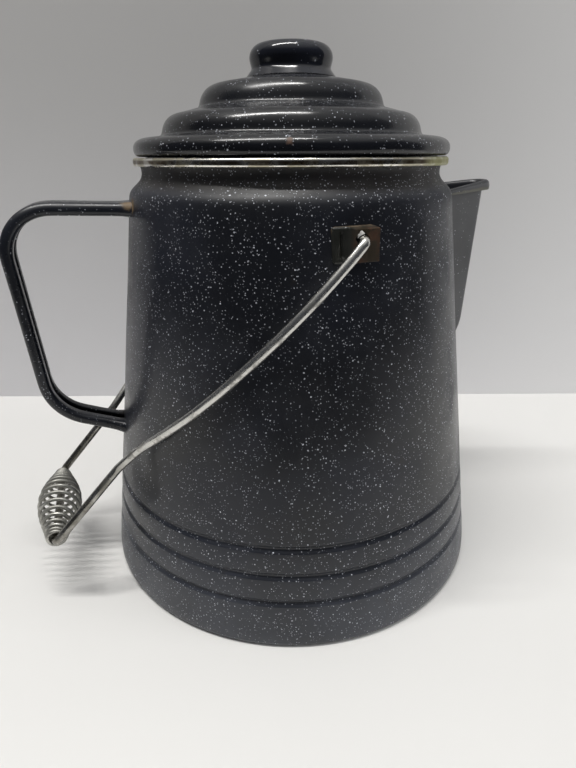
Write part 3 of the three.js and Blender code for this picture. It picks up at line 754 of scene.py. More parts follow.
@dataclass(frozen=True)
class Enamel:
    """Glossy near-black vitreous enamel with pale specks, smudges and stains.

    Sizes and heights are in millimetres. A paler film, painted in as the reflection of the bright
    table, thickens from its height down to the foot, and a stained band thickens from stain_from
    up to stain_to. The inside colour, painted shade on a hollow's inner side, needs the mesh's
    value "inside", and the worn colour its value "edge".
    """

    name: str
    dark: Colour = (0.0062, 0.0072, 0.0105, 1)
    light: Colour = (0.0108, 0.0128, 0.0205, 1)
    cloud_size: float = 55.0
    speck: Colour = (0.76, 0.79, 0.87, 1)
    speck_radius: float = 0.42
    speck_spacing: float = 2.3
    speck_share: float = 0.62
    fine_radius: float = 0.3
    fine_spacing: float = 1.2
    fine_share: float = 0.8
    fine_strength_share: float = 0.9
    fine_shift: Place = (310.0, 170.0, 230.0)
    gloss: float = 0.24
    smudge: float = 0.14
    smudge_size: float = 28.0
    # colour of the paler film towards the foot, a painted reflection of the bright table
    foot_reflection: Colour = (0.048, 0.053, 0.067, 1)
    foot_reflection_height: float | None = None
    # colour of a hollow's inner side, painted shade
    inside: Colour | None = None
    stain: Colour = (0.02, 0.015, 0.0105, 1)
    stain_size: float = 30.0
    stain_cover: float = 0.2
    stain_from: float | None = None
    stain_to: float = 0.0
    stain_dulls: float = 0.0
    stain_dull_reach: float = 10.0
    spots: tuple[Spot, ...] = ()
    worn: Colour | None = None
    worn_size: float = 4.0
    worn_raggedness: float = 0.9
    mark_dulls: float = 0.3
    slow_size: float = 18.0
    slow_height: float = 0.05
    peel_size: float = 3.5
    peel_height: float = 0.007
    speck_height: float = 0.008

    def build(self) -> Material:
        """Makes the material.

        Returns:
            The material.
        """
        finish = Finish(self.name)
        nodes, place = finish.nodes, finish.place
        cloud = nodes.noise(place, self.cloud_size * MM, 3.0)
        colour = nodes.mix(nodes.ramp(cloud, low=0.35, high=0.68), self.dark, self.light)
        # painted reflection: a paler film, broken up by the cloud, thickens towards the foot where the
        # enamel mirrors the bright table
        if self.foot_reflection_height is not None:
            toward_foot = nodes.ramp(nodes.level(place), self.foot_reflection_height * MM, 0.0)
            colour = nodes.mix(nodes.broken(toward_foot, cloud, least_share=0.5), colour, self.foot_reflection)
        colour = nodes.mix(self.stains(finish, cloud), colour, self.stain, strength_share=0.6)
        specks = self.specks(finish)
        colour = nodes.mix(specks, colour, self.speck)
        colour, marks = finish.spotted(self.spots, colour, strength_share=0.85)
        if self.worn is not None:
            lumps = nodes.noise(place, self.worn_size * MM, 4.0, 0.7)
            ragged = nodes.line(lumps, self.worn_raggedness, finish.value("edge"))
            marks.append(nodes.ramp(ragged, low=0.98, high=1.22))
            colour = nodes.mix(marks[-1], colour, self.worn, strength_share=0.8)
        # painted shade: the inner side of a hollow takes the darker inside colour
        if self.inside is not None:
            colour = nodes.mix(finish.value("inside"), colour, self.inside)
        finish.set(Base_Color=colour, Roughness=self.roughness(finish, marks), IOR=1.5)
        peel = nodes.times(nodes.noise(place, self.peel_size * MM, 2.0), self.peel_height * MM)
        relief = nodes.line(nodes.noise(place, self.slow_size * MM, 1.0), self.slow_height * MM, peel)
        finish.bump(nodes.line(specks, self.speck_height * MM, relief))
        return finish.material

    def stains(self, finish: Finish, cloud: Socket) -> Socket:
        """Mask of the stains: soft patches, and the stained band where there is one.

        Args:
            finish: the material under construction.
            cloud: the slow noise that breaks the band up.

        Returns:
            The mask.
        """
        nodes = finish.nodes
        patches = nodes.mask(patch_group(), vector=finish.place, size=self.stain_size * MM,
                             cover=self.stain_cover)
        if self.stain_from is None:
            return patches
        band = nodes.ramp(nodes.level(finish.place), self.stain_from * MM, self.stain_to * MM)
        return nodes.largest([patches, nodes.broken(band, cloud, least_share=0.55)])

    def specks(self, finish: Finish) -> Socket:
        """Mask of the specks: large ones, and fainter fine ones.

        Args:
            finish: the material under construction.

        Returns:
            The mask.
        """
        nodes, place = finish.nodes, finish.place
        shifted = nodes.vector("ADD", place, tuple(v * MM for v in self.fine_shift))
        large = nodes.mask(speck_group(), vector=place, spacing=self.speck_spacing * MM,
                           radius=self.speck_radius * MM, share=self.speck_share)
        fine = nodes.mask(speck_group(), vector=shifted, spacing=self.fine_spacing * MM,
                          radius=self.fine_radius * MM, share=self.fine_share)
        return nodes.largest([large, nodes.times(fine, self.fine_strength_share)])

    def roughness(self, finish: Finish, marks: list[Socket]) -> Socket:
        """Roughness: smudges on the gloss, duller at the stained band and at every mark.

        Args:
            finish: the material under construction.
            marks: masks of the spots and of the worn edges.

        Returns:
            The roughness.
        """
        nodes, place = finish.nodes, finish.place
        smudges = nodes.noise(place, self.smudge_size * MM, 6.0, 0.65)
        rough = nodes.ramp(smudges, low=0.4, high=0.72, start=self.gloss, end=self.gloss + self.smudge)
        if self.stain_from is not None:
            start = self.stain_from - self.stain_dull_reach
            dulled = nodes.ramp(nodes.level(place), start * MM, self.stain_from * MM, 0.0, self.stain_dulls)
            rough = nodes.math("ADD", rough, dulled)
        return nodes.line(nodes.largest(marks), self.mark_dulls, rough) if marks else rough


@dataclass(frozen=True)
class Steel:
    """Bare or galvanised steel with drawn scratches, dull patches and rust.

    Sizes and heights are in millimetres. A darker zone grows between its first two heights
    and fades between its last two. A straightened finish needs the mesh's value "along".
    """

    name: str
    bright: Colour
    dull: Colour
    gloss: float
    rust: Colour = (0.19, 0.11, 0.06, 1)
    dull_size: float = 11.0
    dull_cover: float = 0.4
    dull_roughens: float = 0.16
    rust_size: float = 14.0
    rust_shift: Place = (500.0, 100.0, 200.0)
    rust_cover: float = 0.05
    scratch_width: float = 1.1
    scratch_length: float = 20.0
    scratch_cover: float = 0.6
    scratch_depth: float = 0.02
    straightened: bool = True
    spots: tuple[Spot, ...] = ()
    spot_mark_share: float = 0.5
    mark_roughens: float = 0.4
    mark_metal_loss: float = 0.75
    zone: tuple[float, float, float, float] | None = None
    zone_colour: Colour = (0.09, 0.066, 0.04, 1)
    zone_cloud_size: float = 8.0
    grain_size: float = 1.6
    grain_height: float = 0.03

    def build(self) -> Material:
        """Makes the material, on the mesh's straightened place where it has one.

        Returns:
            The material.
        """
        finish = Finish(self.name)
        nodes = finish.nodes
        place = finish.vector("along") if self.straightened else finish.place
        shifted = nodes.vector("ADD", place, tuple(v * MM for v in self.rust_shift))
        dull = nodes.mask(patch_group(), vector=place, size=self.dull_size * MM, cover=self.dull_cover)
        rust = nodes.mask(patch_group(), vector=shifted, size=self.rust_size * MM, cover=self.rust_cover)
        scratch = nodes.mask(scratch_group(), vector=place, width=self.scratch_width * MM,
                             length=self.scratch_length * MM, cover=self.scratch_cover)
        colour = nodes.mix(dull, self.bright, self.dull, strength_share=0.75)
        colour = nodes.mix(scratch, colour, self.bright, strength_share=0.5)
        colour = nodes.mix(rust, colour, self.rust)
        if self.zone is not None:
            colour = nodes.mix(self.darkened_zone(finish), colour, self.zone_colour)
        colour, masks = finish.spotted(self.spots, colour, strength_share=0.7)
        marks = nodes.largest([rust, *(nodes.times(mask, self.spot_mark_share) for mask in masks)])
        rough = nodes.line(dull, self.dull_roughens, self.gloss)
        rough = nodes.line(marks, self.mark_roughens, rough)
        metallic = nodes.line(marks, -self.mark_metal_loss, 1.0)
        finish.set(Base_Color=colour, Roughness=rough, Metallic=metallic)
        grain = nodes.times(nodes.noise(place, self.grain_size * MM, 3.0, 0.6), self.grain_height * MM)
        finish.bump(nodes.line(scratch, -self.scratch_depth * MM, grain))
        return finish.material

    def darkened_zone(self, finish: Finish) -> Socket:
        """Mask of the darker zone, broken up by a cloud.

        Args:
            finish: the material under construction.

        Returns:
            The mask.
        """
        nodes, height = finish.nodes, finish.nodes.level(finish.place)
        start, full, fading, end = (level * MM for level in self.zone)
        held = nodes.times(nodes.ramp(height, start, full), nodes.ramp(height, end, fading))
        cloud = nodes.noise(finish.place, self.zone_cloud_size * MM, 4.0, 0.65)
        return nodes.broken(held, cloud, least_share=0.45)


@dataclass(frozen=True)
class ScorchedPlate:
    """Thin burnt enamel on a welded plate: green-grey, brown round the hole, bare at its edges.

    It needs the mesh's values "pad", "edge" and "bare". Sizes and heights are in millimetres.
    """

    name: str
    green: Colour = (0.014, 0.015, 0.012, 1)
    brown: Colour = (0.026, 0.018, 0.009, 1)
    rust: Colour = (0.055, 0.024, 0.011, 1)
    rim: Colour = (0.13, 0.095, 0.06, 1)
    bare: Colour = (0.92, 0.91, 0.87, 1)
    cloud_size: float = 6.0
    pad_raggedness: float = 0.9
    rust_size: float = 7.0
    rust_cover: float = 0.5
    rust_roughens: float = 0.25
    speck_spacing: float = 3.0
    speck_radius: float = 0.4
    speck_share: float = 0.25
    edge_raggedness: float = 0.8
    bare_metal: float = 0.4
    gloss: float = 0.32
    dullest: float = 0.5
    grain_size: float = 1.8
    grain_height: float = 0.06

    def build(self) -> Material:
        """Makes the material.

        Returns:
            The material.
        """
        finish = Finish(self.name)
        nodes, place = finish.nodes, finish.place
        cloud = nodes.noise(place, self.cloud_size * MM, 4.0, 0.6)
        bend = nodes.math("SUBTRACT", cloud, 0.5)
        pad = nodes.line(bend, self.pad_raggedness, finish.value("pad"))
        colour = nodes.mix(nodes.ramp(pad, low=0.2, high=0.8), self.green, self.brown)
        rust = nodes.mask(patch_group(), vector=place, size=self.rust_size * MM, cover=self.rust_cover)
        rust = nodes.times(rust, nodes.ramp(pad, low=0.3, high=0.9))
        colour = nodes.mix(rust, colour, self.rust)
        specks = nodes.mask(speck_group(), vector=place, spacing=self.speck_spacing * MM,
                            radius=self.speck_radius * MM, share=self.speck_share)
        colour = nodes.mix(specks, colour, self.rim, strength_share=0.5)
        edge = nodes.line(bend, self.edge_raggedness, finish.value("edge"))
        colour = nodes.mix(nodes.ramp(edge, low=0.68, high=1.05, end=0.8), colour, self.rim)
        metal = nodes.ramp(finish.value("bare"), low=0.4, high=0.6)
        colour = nodes.mix(metal, colour, self.bare)
        rough = nodes.line(rust, self.rust_roughens,
                           nodes.ramp(cloud, low=0.3, high=0.7, start=self.gloss, end=self.dullest))
        finish.set(Base_Color=colour, Metallic=nodes.times(metal, self.bare_metal), Roughness=rough)
        grain = nodes.noise(place, self.grain_size * MM, 3.0, 0.6)
        finish.bump(nodes.times(grain, self.grain_height * MM))
        return finish.material


# Sub-assemblies


@dataclass
class Pot:
    """The pressed body, its base pan and the steel band folded round its mouth."""

    foot_radius: float = 120.9
    shoulder_radius: float = 89.7
    neck_drop: float = 7.0
    shoulder_drop: float = 19.9
    neck_inset: float = 8.1
    flange_overhang: float = 3.0
    flange_width: float = 1.6
    sheet: float = 1.2
    seat_gap: float = 0.3
    lowest_groove: float = 27.6
    groove_spacing: float = 15.5
    groove_count: int = 3
    groove_depth: float = 1.1
    groove_reach: float = 2.6
    band_crown: float = 0.2
    base_radius: float = 119.95
    base_corner: float = 3.0
    base_blend: float = 0.15
    lap_height: float = 8.0
    band_sheet: float = 0.9
    band_round: float = 1.45
    band_drop: float = 0.6
    shoulder_reach: float = 1.5
    band_lip_share: float = 1 / 6
    band_waves: tuple[Wave, ...] = (Wave(0.07, 7, 0.4), Wave(0.05, 13, 2.0))
    band_tilt_waves: tuple[Wave, ...] = (Wave(0.1, 3, 1.1), Wave(0.06, 11))
    unevenness: Unevenness = Unevenness()
    outline_turn: float = 0.05
    groove_points: int = 12
    segments: int = 192
    mouth_height: float = field(default_factory=lambda: float(span_of("body_shell")[1][2]))

    @property
    def shoulder_height(self) -> float:
        """Height at which the cone ends."""
        return self.mouth_height - self.shoulder_drop

    @property
    def neck_radius(self) -> float:
        """Radius of the neck's narrowest ring."""
        return self.shoulder_radius - self.neck_inset

    @property
    def flange_radius(self) -> float:
        """Radius of the mouth's flange."""
        return self.neck_radius + self.flange_overhang

    def cone_radius(self, height: float | Array) -> float | Array:
        """Outer radius of the plain cone at a height."""
        return lerp(self.foot_radius, self.shoulder_radius, height / self.shoulder_height)

    def pressed_outline(self, low: float, high: float) -> Array:
        """Outside of the wall's lower part, with its grooves and the bands between them.

        At t grooves above the lowest one the wall swells by the crown times sin(pi t)^2, and
        at d reaches from a groove's middle it sinks by the depth times (1 - d^2)^2.

        Args:
            low: height where the outline starts.
            high: height where it ends.

        Returns:
            Radius and height, one pair a row.
        """
        count = math.ceil((high - low) / self.groove_reach) * self.groove_points
        height = np.linspace(low, high, count + 1)
        turns = (height - self.lowest_groove) / self.groove_spacing
        nearest = np.clip(np.round(turns), 0, self.groove_count - 1)
        away = (turns - nearest) * self.groove_spacing / self.groove_reach
        crown = self.band_crown * np.sin(math.pi * np.clip(turns, -1, self.groove_count - 1)) ** 2
        sunk = self.groove_depth * np.clip(1 - away ** 2, 0, 1) ** 2
        return np.stack([self.cone_radius(height) + crown - sunk, height], axis=1)

    @cached_property
    def outline(self) -> Array:
        """Outside of the wall from its lowest groove up to the flange's root.

        The shares say how far each point lies from the shoulder to the neck, and from there to
        the flange's root, in height and in radius.

        Returns:
            Radius and height, one pair a row.
        """
        shoulder_shares = np.array([
            [0, 0], [0.25, 0.04], [0.465, 0.27], [0.7, 0.735], [0.88, 0.95], [1, 1],
        ])
        flare_shares = np.array([[0.4, 0.06], [0.76, 0.4], [1, 1]])
        shoulder = np.array([self.shoulder_radius, self.shoulder_height])
        neck = np.array([self.neck_radius, self.mouth_height - self.neck_drop])
        root = np.array([self.flange_radius - self.flange_width, self.mouth_height - self.sheet])
        grooves_end = self.lowest_groove + self.groove_count * self.groove_spacing
        lower = self.pressed_outline(self.lowest_groove, grooves_end)
        upper = np.concatenate([lower[-1:], lerp(shoulder, neck, shoulder_shares[:, ::-1]),
                                lerp(neck, root, flare_shares[:, ::-1])])
        upper = softened(upper, self.shoulder_reach)
        return thinned(np.concatenate([lower[:-1], upper]), self.outline_turn)

    def radius_at(self, height: Array) -> Array:
        """Outer radius of the real wall at a height."""
        return np.interp(height, self.outline[:, 1], self.outline[:, 0])

    def wall(self) -> Skin:
        """The body shell: its outline, the flange, and the same outline a sheet further in.

        Returns:
            The shell, without the strainer's holes.
        """
        inside = offset_outline(self.outline, self.sheet)
        inside[0, 1] = self.outline[0, 1]
        inside[-1, 1] = self.mouth_height
        ease = self.sheet / 4
        flange = np.array([
            [self.flange_radius - ease, self.mouth_height - self.sheet],
            [self.flange_radius, self.mouth_height - self.sheet + ease],
            [self.flange_radius, self.mouth_height - ease],
            [self.flange_radius - ease, self.mouth_height],
        ])
        whole = np.concatenate([self.outline, flange, inside[::-1]])
        return self.unevenness.put_on(revolved(whole, self.segments))

    def pan(self) -> Skin:
        """The base pan: rounded corner, pressed side, and a lap inside the wall.

        Above the corner the side is the cone, or the base's radius where the cone would pass
        it: r = base - s ln(1 + exp((base - cone) / s)), with s the blend between both.

        Returns:
            The pan, closed on the axis.
        """
        seam = self.lowest_groove - self.seat_gap
        corner = arc((self.base_radius - self.base_corner, self.base_corner),
                     self.base_corner, -90, 0, count=14)
        side = self.pressed_outline(self.base_corner, seam)
        under = np.logaddexp(0, (self.base_radius - side[:, 0]) / self.base_blend)
        side[:, 0] = self.base_radius - self.base_blend * under
        side = thinned(side[1:], self.outline_turn)
        lap = self.sheet + self.groove_depth + self.seat_gap
        lap_heights = np.linspace(seam, self.lowest_groove + self.lap_height, num=5)
        lap_side = np.stack([self.cone_radius(lap_heights) - lap, lap_heights], axis=1)
        across = np.linspace(0, corner[0, 0], num=12)
        floor = np.stack([across, 0 * across], axis=1)[:-1]
        inner_radius = self.base_corner - self.sheet
        inner_corner = arc((corner[0, 0] - lap, self.base_corner), inner_radius, 0, -90, count=10)
        inside_lap = lap_side[::-1] - [self.sheet, 0]
        inner_floor = floor[::-1] + [0, self.sheet]
        whole = np.concatenate([floor, corner, side, lap_side, inside_lap, inner_corner, inner_floor])
        return self.unevenness.put_on(revolved(whole, self.segments, closed=False))

    def band(self) -> Skin:
        """The rim band: a folded strip with a rounded face, hollow where it holds the flange.

        Slow waves move it out and in, and tilt its face.

        Returns:
            The band.
        """
        low, high = (corner[2] for corner in span_of("rim_band"))
        low -= self.band_drop
        slot_radius = self.flange_radius + self.seat_gap
        outer = slot_radius + self.band_sheet
        inner_low = self.flange_radius - self.seat_gap
        inner_high = self.flange_radius - self.flange_width - self.seat_gap
        round_ = self.band_round
        face = np.concatenate([
            [[inner_low, low]],
            arc((outer - round_, low + round_), round_, -90, 0, count=8),
            arc((outer - round_, high - round_), round_, 0, 90, count=8),
            [[inner_high, high - self.band_sheet * self.band_lip_share]],
        ])
        slot_low, slot_high = low + self.band_sheet, high - self.band_sheet
        slot = np.array([[inner_high, slot_high], [slot_radius, slot_high], [slot_radius, slot_low],
                         [inner_low, slot_low]])
        skin = revolved(np.concatenate([face, slot]), self.segments)
        x, y, z = skin.points.T
        turn = np.arctan2(y, x)
        tilt = waves_at(self.band_tilt_waves, turn, z) * (z - (low + high) / 2) / (high - low)
        return moved_out(skin, waves_at(self.band_waves, turn, z) + tilt)

    def build(self, enamel: Material, steel: Material, spout: "Spout") -> None:
        """Makes the body, the pan and the band.

        Args:
            enamel: the wall's finish.
            steel: the band's finish.
            spout: the spout, whose strainer holes are cut through the wall.
        """
        wall = self.wall().piece("pot_wall")
        spout.cut_strainer(wall)
        dress(wall, Body.POT, enamel, ("body_shell",))
        dress(self.pan().piece("pot_base"), Body.POT, enamel, ("base_pan",))
        dress(self.band().piece("mouth_band"), Body.POT, steel, ("rim_band",))


@dataclass
class Spout:
    """The folded spout with its rolled lip, and the strainer behind it."""

    pot: Pot
    sheet: float = 1.2
    rim_drop: float = 0.5
    ridge_height: float = 140.0
    foot_height: float = 108.0
    ridge_reach: float = 128.7
    bend_reach: float = 125.9
    rim_half_width: float = 27.0
    foot_half_width: float = 5.0
    nose_radius: float = 7.0
    foot_nose_radius: float = 4.0
    lip_height: float = 7.0
    lip_reach: float = 3.5
    wall_inset: float = 10.0
    weld_sink: float = 0.7
    hole_radius: float = 2.75
    hole_pitch: float = 12.0
    hole_drop: float = 18.5
    hole_rows: int = 5
    foot_turn: float = 1.27
    foot_rows: int = 22
    ridge_rows: int = 24
    lip_rows: int = 12
    lip_softness: float = 0.5
    lip_step: float = 0.1
    lip_turn: float = 0.12
    lip_longest: float = 1.0
    edge_rise_share: float = 0.4
    edge_half_share: float = 0.18
    worn_rows: int = 9
    rolled_rows: int = 3
    weld_wear_share: float = 0.2
    weld_wear_power: int = 6

    @property
    def rim_height(self) -> float:
        """Height of the rim where it leaves the wall."""
        return self.pot.shoulder_height - self.rim_drop

    def half_width(self, height: Array) -> Array:
        """Half width of the spout where it meets the wall."""
        share = np.clip((height - self.foot_height) / (self.rim_height - self.foot_height), 0, 1)
        return lerp(self.foot_half_width, self.rim_half_width, share)

    def rows(self) -> dict[str, Array]:
        """Height, reach, nose radius and lip of each row, from the foot to the lip's edge.

        The foot is a quarter ellipse in height and reach, the ridge above it is straight, and
        the lip follows a short curve given as shares of its height and of its reach.

        Returns:
            A column of values for each of them, by name.
        """
        lip_shares = np.array([
            [0, 0], [0.45, 0.03], [0.84, 0.14], [1, 0.44], [0.93, 0.76], [0.68, 0.93], [0.38, 0.88],
        ])
        foot = np.linspace(self.foot_turn, 0, self.foot_rows, endpoint=False)
        foot_start = self.pot.cone_radius(self.foot_height) - self.wall_inset
        foot_height = self.ridge_height - (self.ridge_height - self.foot_height) * np.sin(foot)
        foot_reach = lerp(foot_start, self.bend_reach, np.cos(foot))
        ridge = np.linspace(0, 1, self.ridge_rows)
        lip = softened(lip_shares * [self.lip_height, self.lip_reach], self.lip_softness, self.lip_step)
        lip = thinned(lip, self.lip_turn, self.lip_longest)[1:]
        level = np.ones(len(lip))
        none = np.zeros(self.foot_rows + self.ridge_rows)
        columns = {
            "height": [foot_height, lerp(self.ridge_height, self.rim_height, ridge),
                       self.rim_height * level],
            "reach": [foot_reach, lerp(self.bend_reach, self.ridge_reach, ridge), self.ridge_reach * level],
            "nose": [np.full(self.foot_rows, self.foot_nose_radius),
                     lerp(self.foot_nose_radius, self.nose_radius, ridge), self.nose_radius * level],
            "lip_up": [none, lip[:, 0]],
            "lip_out": [none, lip[:, 1]],
        }
        return {name: np.concatenate(parts)[:, None] for name, parts in columns.items()}

    def outside(self) -> Array:
        """Grid of the spout's outside: a row for each height, and columns from wall to wall.

        In plan a row is a nose circle and the two lines from the wall that touch it. Each line
        is cut where it passes into the wall's circle. The lip rises and rolls out in step with
        how far forward a point lies.

        Returns:
            The points, by row and column.
        """
        row = self.rows()
        height, reach, nose = row["height"], row["reach"], row["nose"]
        centre = reach - nose
        wall_x = self.pot.cone_radius(height) - self.wall_inset
        half_width = self.half_width(height)
        distance = np.hypot(half_width, wall_x - centre)
        touch = np.arctan2(half_width, wall_x - centre) - np.arccos(np.clip(nose / distance, -1, 1))
        turn = touch * np.linspace(-1, 1, num=25)[None]
        nose_x, nose_y = centre + nose * np.cos(turn), nose * np.sin(turn)
        start_x, start_y = nose_x[:, -1:], nose_y[:, -1:]
        run_x, run_y = wall_x - start_x, half_width - start_y
        meet = self.pot.radius_at(height) - self.weld_sink
        a = run_x ** 2 + run_y ** 2
        b = 2 * (start_x * run_x + start_y * run_y)
        c = start_x ** 2 + start_y ** 2 - meet ** 2
        reachable = np.sqrt(np.maximum(b * b - 4 * a * c, 0))
        cut = np.clip((-b - reachable) / (2 * a), 0, 1)
        share = cut * np.linspace(1, 0, num=20, endpoint=False)[None]
        flank_x, flank_y = start_x + run_x * share, start_y + run_y * share
        x = np.concatenate([flank_x, nose_x, flank_x[:, ::-1]], axis=1)
        y = np.concatenate([-flank_y, nose_y, flank_y[:, ::-1]], axis=1)
        flank_turn = np.broadcast_to(touch, flank_x.shape)
        out = np.concatenate([-flank_turn, turn, flank_turn], axis=1)
        root = wall_x - self.wall_inset
        forward = np.clip((x - root) / (reach - root), 0, 1)
        x = x + np.cos(out) * row["lip_out"] * forward
        y = y + np.sin(out) * row["lip_out"] * forward
        z = height + row["lip_up"] * forward
        return np.stack([x, y, z], axis=-1)

    def shell(self) -> Skin:
        """The spout's sheet: its outside, and the same surface a sheet's thickness inwards.

        The value "edge" is high at the lip's edge and along the welds, and "inside" is high on
        the inner side below the rolled lip, which the finish paints in shade.

        Returns:
            The spout.
        """
        outer = self.outside()
        normal = np.cross(np.gradient(outer, axis=1), np.gradient(outer, axis=0))
        normal /= np.maximum(np.linalg.norm(normal, axis=2, keepdims=True), TINY)
        inner = outer - normal * self.sheet
        meet = np.hypot(outer[:, [0, -1], 0], outer[:, [0, -1], 1])
        reached = np.hypot(inner[:, [0, -1], 0], inner[:, [0, -1], 1])
        inner[:, [0, -1], :2] *= (meet / np.maximum(reached, TINY))[..., None]
        up = outer[-1] - outer[-2]
        up /= np.linalg.norm(up, axis=1)[:, None]
        rise, half = self.edge_rise_share * up, self.edge_half_share * normal[-1]
        outer = np.concatenate([outer, outer[-1:] + (rise - half) * self.sheet])
        inner = np.concatenate([inner, inner[-1:] + (rise + half) * self.sheet])
        skin = walled(outer, inner)
        rows, columns = outer.shape[:2]
        row = np.arange(rows)
        worn = np.clip(1 - (rows - 1 - row) / self.worn_rows, 0, 1)[:, None]
        welds = np.abs(np.linspace(-1, 1, columns))[None] ** self.weld_wear_power * self.weld_wear_share
        edge = np.maximum(np.broadcast_to(worn, (rows, columns)), welds)
        skin.values["edge"] = np.concatenate([edge.ravel(), edge.ravel()])
        rolled = np.clip((row - (rows - self.lip_rows)) / self.rolled_rows, 0, 1)[:, None]
        deep = np.broadcast_to(1 - rolled, (rows, columns))
        skin.values["inside"] = np.concatenate([0 * deep.ravel(), deep.ravel()])
        return skin

    def cut_strainer(self, wall: bpy.types.Object) -> None:
        """Cuts the strainer's holes through the wall behind the spout.

        Args:
            wall: the body shell.
        """
        height = self.rim_height - self.hole_drop - np.arange(self.hole_rows) * self.hole_pitch
        room = self.half_width(height) - self.hole_pitch / 2
        pairs = np.floor(2 * room / self.hole_pitch).astype(int)
        places = [((i - pairs[row] / 2) * self.hole_pitch, height[row])
                  for row in range(self.hole_rows) for i in range(pairs[row] + 1)]
        section = round_section(self.hole_radius, sides=20)
        points, quads, caps = [], [], []
        for index, (across, level) in enumerate(places):
            path = np.array([[self.pot.cone_radius(level) + run, across, level]
                             for run in (-self.wall_inset, self.wall_inset)])
            pin = swept(path, section, ACROSS)
            first = index * len(pin.points)
            points.append(pin.points)
            quads.append(pin.quads + first)
            caps += [cap + first for cap in pin.caps]
        cut_out(wall, Skin(np.concatenate(points), np.concatenate(quads), caps).piece("strainer_pins"))

    def build(self, enamel: Material) -> None:
        """Makes the spout."""
        dress(self.shell().piece("pouring_spout"), Body.POT, enamel, ("spout_shell",))


@dataclass
class StrapHandle:
    """The strap handle: a channel with rolled edges, open towards the fingers."""

    pot: Pot
    width: float = 20.0
    depth: float = 5.8
    sheet: float = 1.2
    slot_width: float = 7.0
    edge_radius: float = 2.6
    top_drop: float = 4.0
    top_rise: float = 2.6
    top_reach: float = 154.3
    top_bend: float = 22.5
    low_reach: float = 146.0
    low_height: float = 106.8
    low_bend: float = 27.7
    foot_height: float = 91.8
    weld_sink: float = 0.5
    weld_swell: float = 0.2
    weld_reach: float = 2.6
    crown: float = 1.4
    crown_fall_share: float = 0.6
    crown_fall_shares: Pair = (0.25, 0.45)
    width_shares: tuple[float, ...] = (0.98, 1.05, 0.91, 0.91, 0.94)
    route_softness: float = 2.2
    route_step: float = 0.5
    route_turn: float = 0.06
    route_longest: float = 4.0
    weld_rounds: int = 4

    def route(self) -> Array:
        """Middle line of the strap, from its top weld round both bends to its low weld.

        Returns:
            Its points, one a row.
        """
        top = self.pot.shoulder_height - self.top_drop
        corners = np.array([
            [-self.pot.cone_radius(top), top],
            [-self.top_reach, top + self.top_rise],
            [-self.low_reach, self.low_height],
            [-self.pot.cone_radius(self.foot_height), self.foot_height],
        ])
        first = self.bend(corners[0], corners[1], corners[2], self.top_bend)
        second = self.bend(corners[1], corners[2], corners[3], self.low_bend)
        line = np.concatenate([corners[:1], first, second, corners[-1:]])
        line = softened(line, self.route_softness, self.route_step)
        line = thinned(line, self.route_turn, self.route_longest)
        return np.stack([line[:, 0], np.zeros(len(line)), line[:, 1]], axis=1)

    @staticmethod
    def bend(before: Array, corner: Array, after: Array, radius: float) -> Array:
        """Arc that rounds a corner: it touches both straight lines, at radius over tan(half).

        Args:
            before: where the first line comes from.
            corner: where both lines meet.
            after: where the second line goes.
            radius: radius of the arc.

        Returns:
            Points of the arc, one a row.
        """
        back = (before - corner) / np.linalg.norm(before - corner)
        ahead = (after - corner) / np.linalg.norm(after - corner)
        half = math.acos(float(np.clip(back @ ahead, -1, 1))) / 2
        centre = corner + (back + ahead) / np.linalg.norm(back + ahead) * radius / math.sin(half)
        start = corner + back * radius / math.tan(half) - centre
        end = corner + ahead * radius / math.tan(half) - centre
        sweep = math.pi - 2 * half
        turn = np.linspace(0, sweep, num=24)[:, None]
        return centre + (start * np.sin(sweep - turn) + end * np.sin(turn)) / math.sin(sweep)

    def section(self) -> Array:
        """Channel section: a rolled box with a slot towards the fingers.

        Returns:
            Its points: how far away from the fingers, and how far across the strap.
        """
        half_depth, half_width, half_slot = self.depth / 2, self.width / 2, self.slot_width / 2
        outside = rounded_box(half_depth, half_width, self.edge_radius)
        inside = rounded_box(half_depth - self.sheet, half_width - self.sheet, self.edge_radius - self.sheet)
        lip = self.sheet / 2
        near_lip = arc((half_depth - lip, -half_slot), lip, 0, 180, count=6)
        far_lip = arc((half_depth - lip, half_slot), lip, -180, 0, count=6)
        return np.concatenate([outside, near_lip, inside[::-1], far_lip]) * [-1, 1]

    def strap(self) -> Skin:
        """The strap: its section along its route, swollen at the welds, with its ends on the wall.

        Its outer face is crowned, and the crown falls off over a part of its length.

        Returns:
            The strap.
        """
        path = self.route()
        marks = lengths_along(path)
        length = marks[-1]
        from_end = np.minimum(marks, length - marks)
        swell = 1 + self.weld_swell * np.exp(-from_end / self.weld_reach)
        section = self.section()
        knots = np.linspace(0, length, len(self.width_shares))
        width = np.interp(marks, knots, self.width_shares)
        sections = section[None] * np.stack([swell, swell * width], axis=1)[:, None, :]
        outside = ramp(section[:, 0], -self.depth / 2, self.depth / 2)
        outside = outside * (1 - (2 * section[:, 1] / self.width) ** 2)
        fall = ramp(marks, *(share * length for share in self.crown_fall_shares))
        crown = self.crown * (1 - self.crown_fall_share * fall)
        sections[:, :, 0] += crown[:, None] * outside
        skin = swept(path, sections, ACROSS)
        grid = skin.points.reshape(len(path), len(section), 3)
        directions = directions_along(path)
        for row, way in ((0, directions[0]), (-1, directions[-1])):
            grid[row] = self.onto_wall(grid[row], way)
        skin.points = grid.reshape(-1, 3)
        return skin

    def onto_wall(self, points: Array, way: Array) -> Array:
        """Slides points along a direction until they lie just inside the wall's face.

        Args:
            points: the points, one a row.
            way: the direction.

        Returns:
            The points on the wall, after a few rounds of Newton's method.
        """
        for _ in range(self.weld_rounds):
            distance = np.hypot(points[:, 0], points[:, 1])
            wanted = self.pot.radius_at(points[:, 2]) - self.weld_sink
            slope = (points[:, :2] @ way[:2]) / distance
            points = points + ((wanted - distance) / slope)[:, None] * way
        return points

    def build(self, enamel: Material) -> None:
        """Makes the handle."""
        dress(self.strap().piece("strap_handle"), Body.POT, enamel, ("handle_strap",))


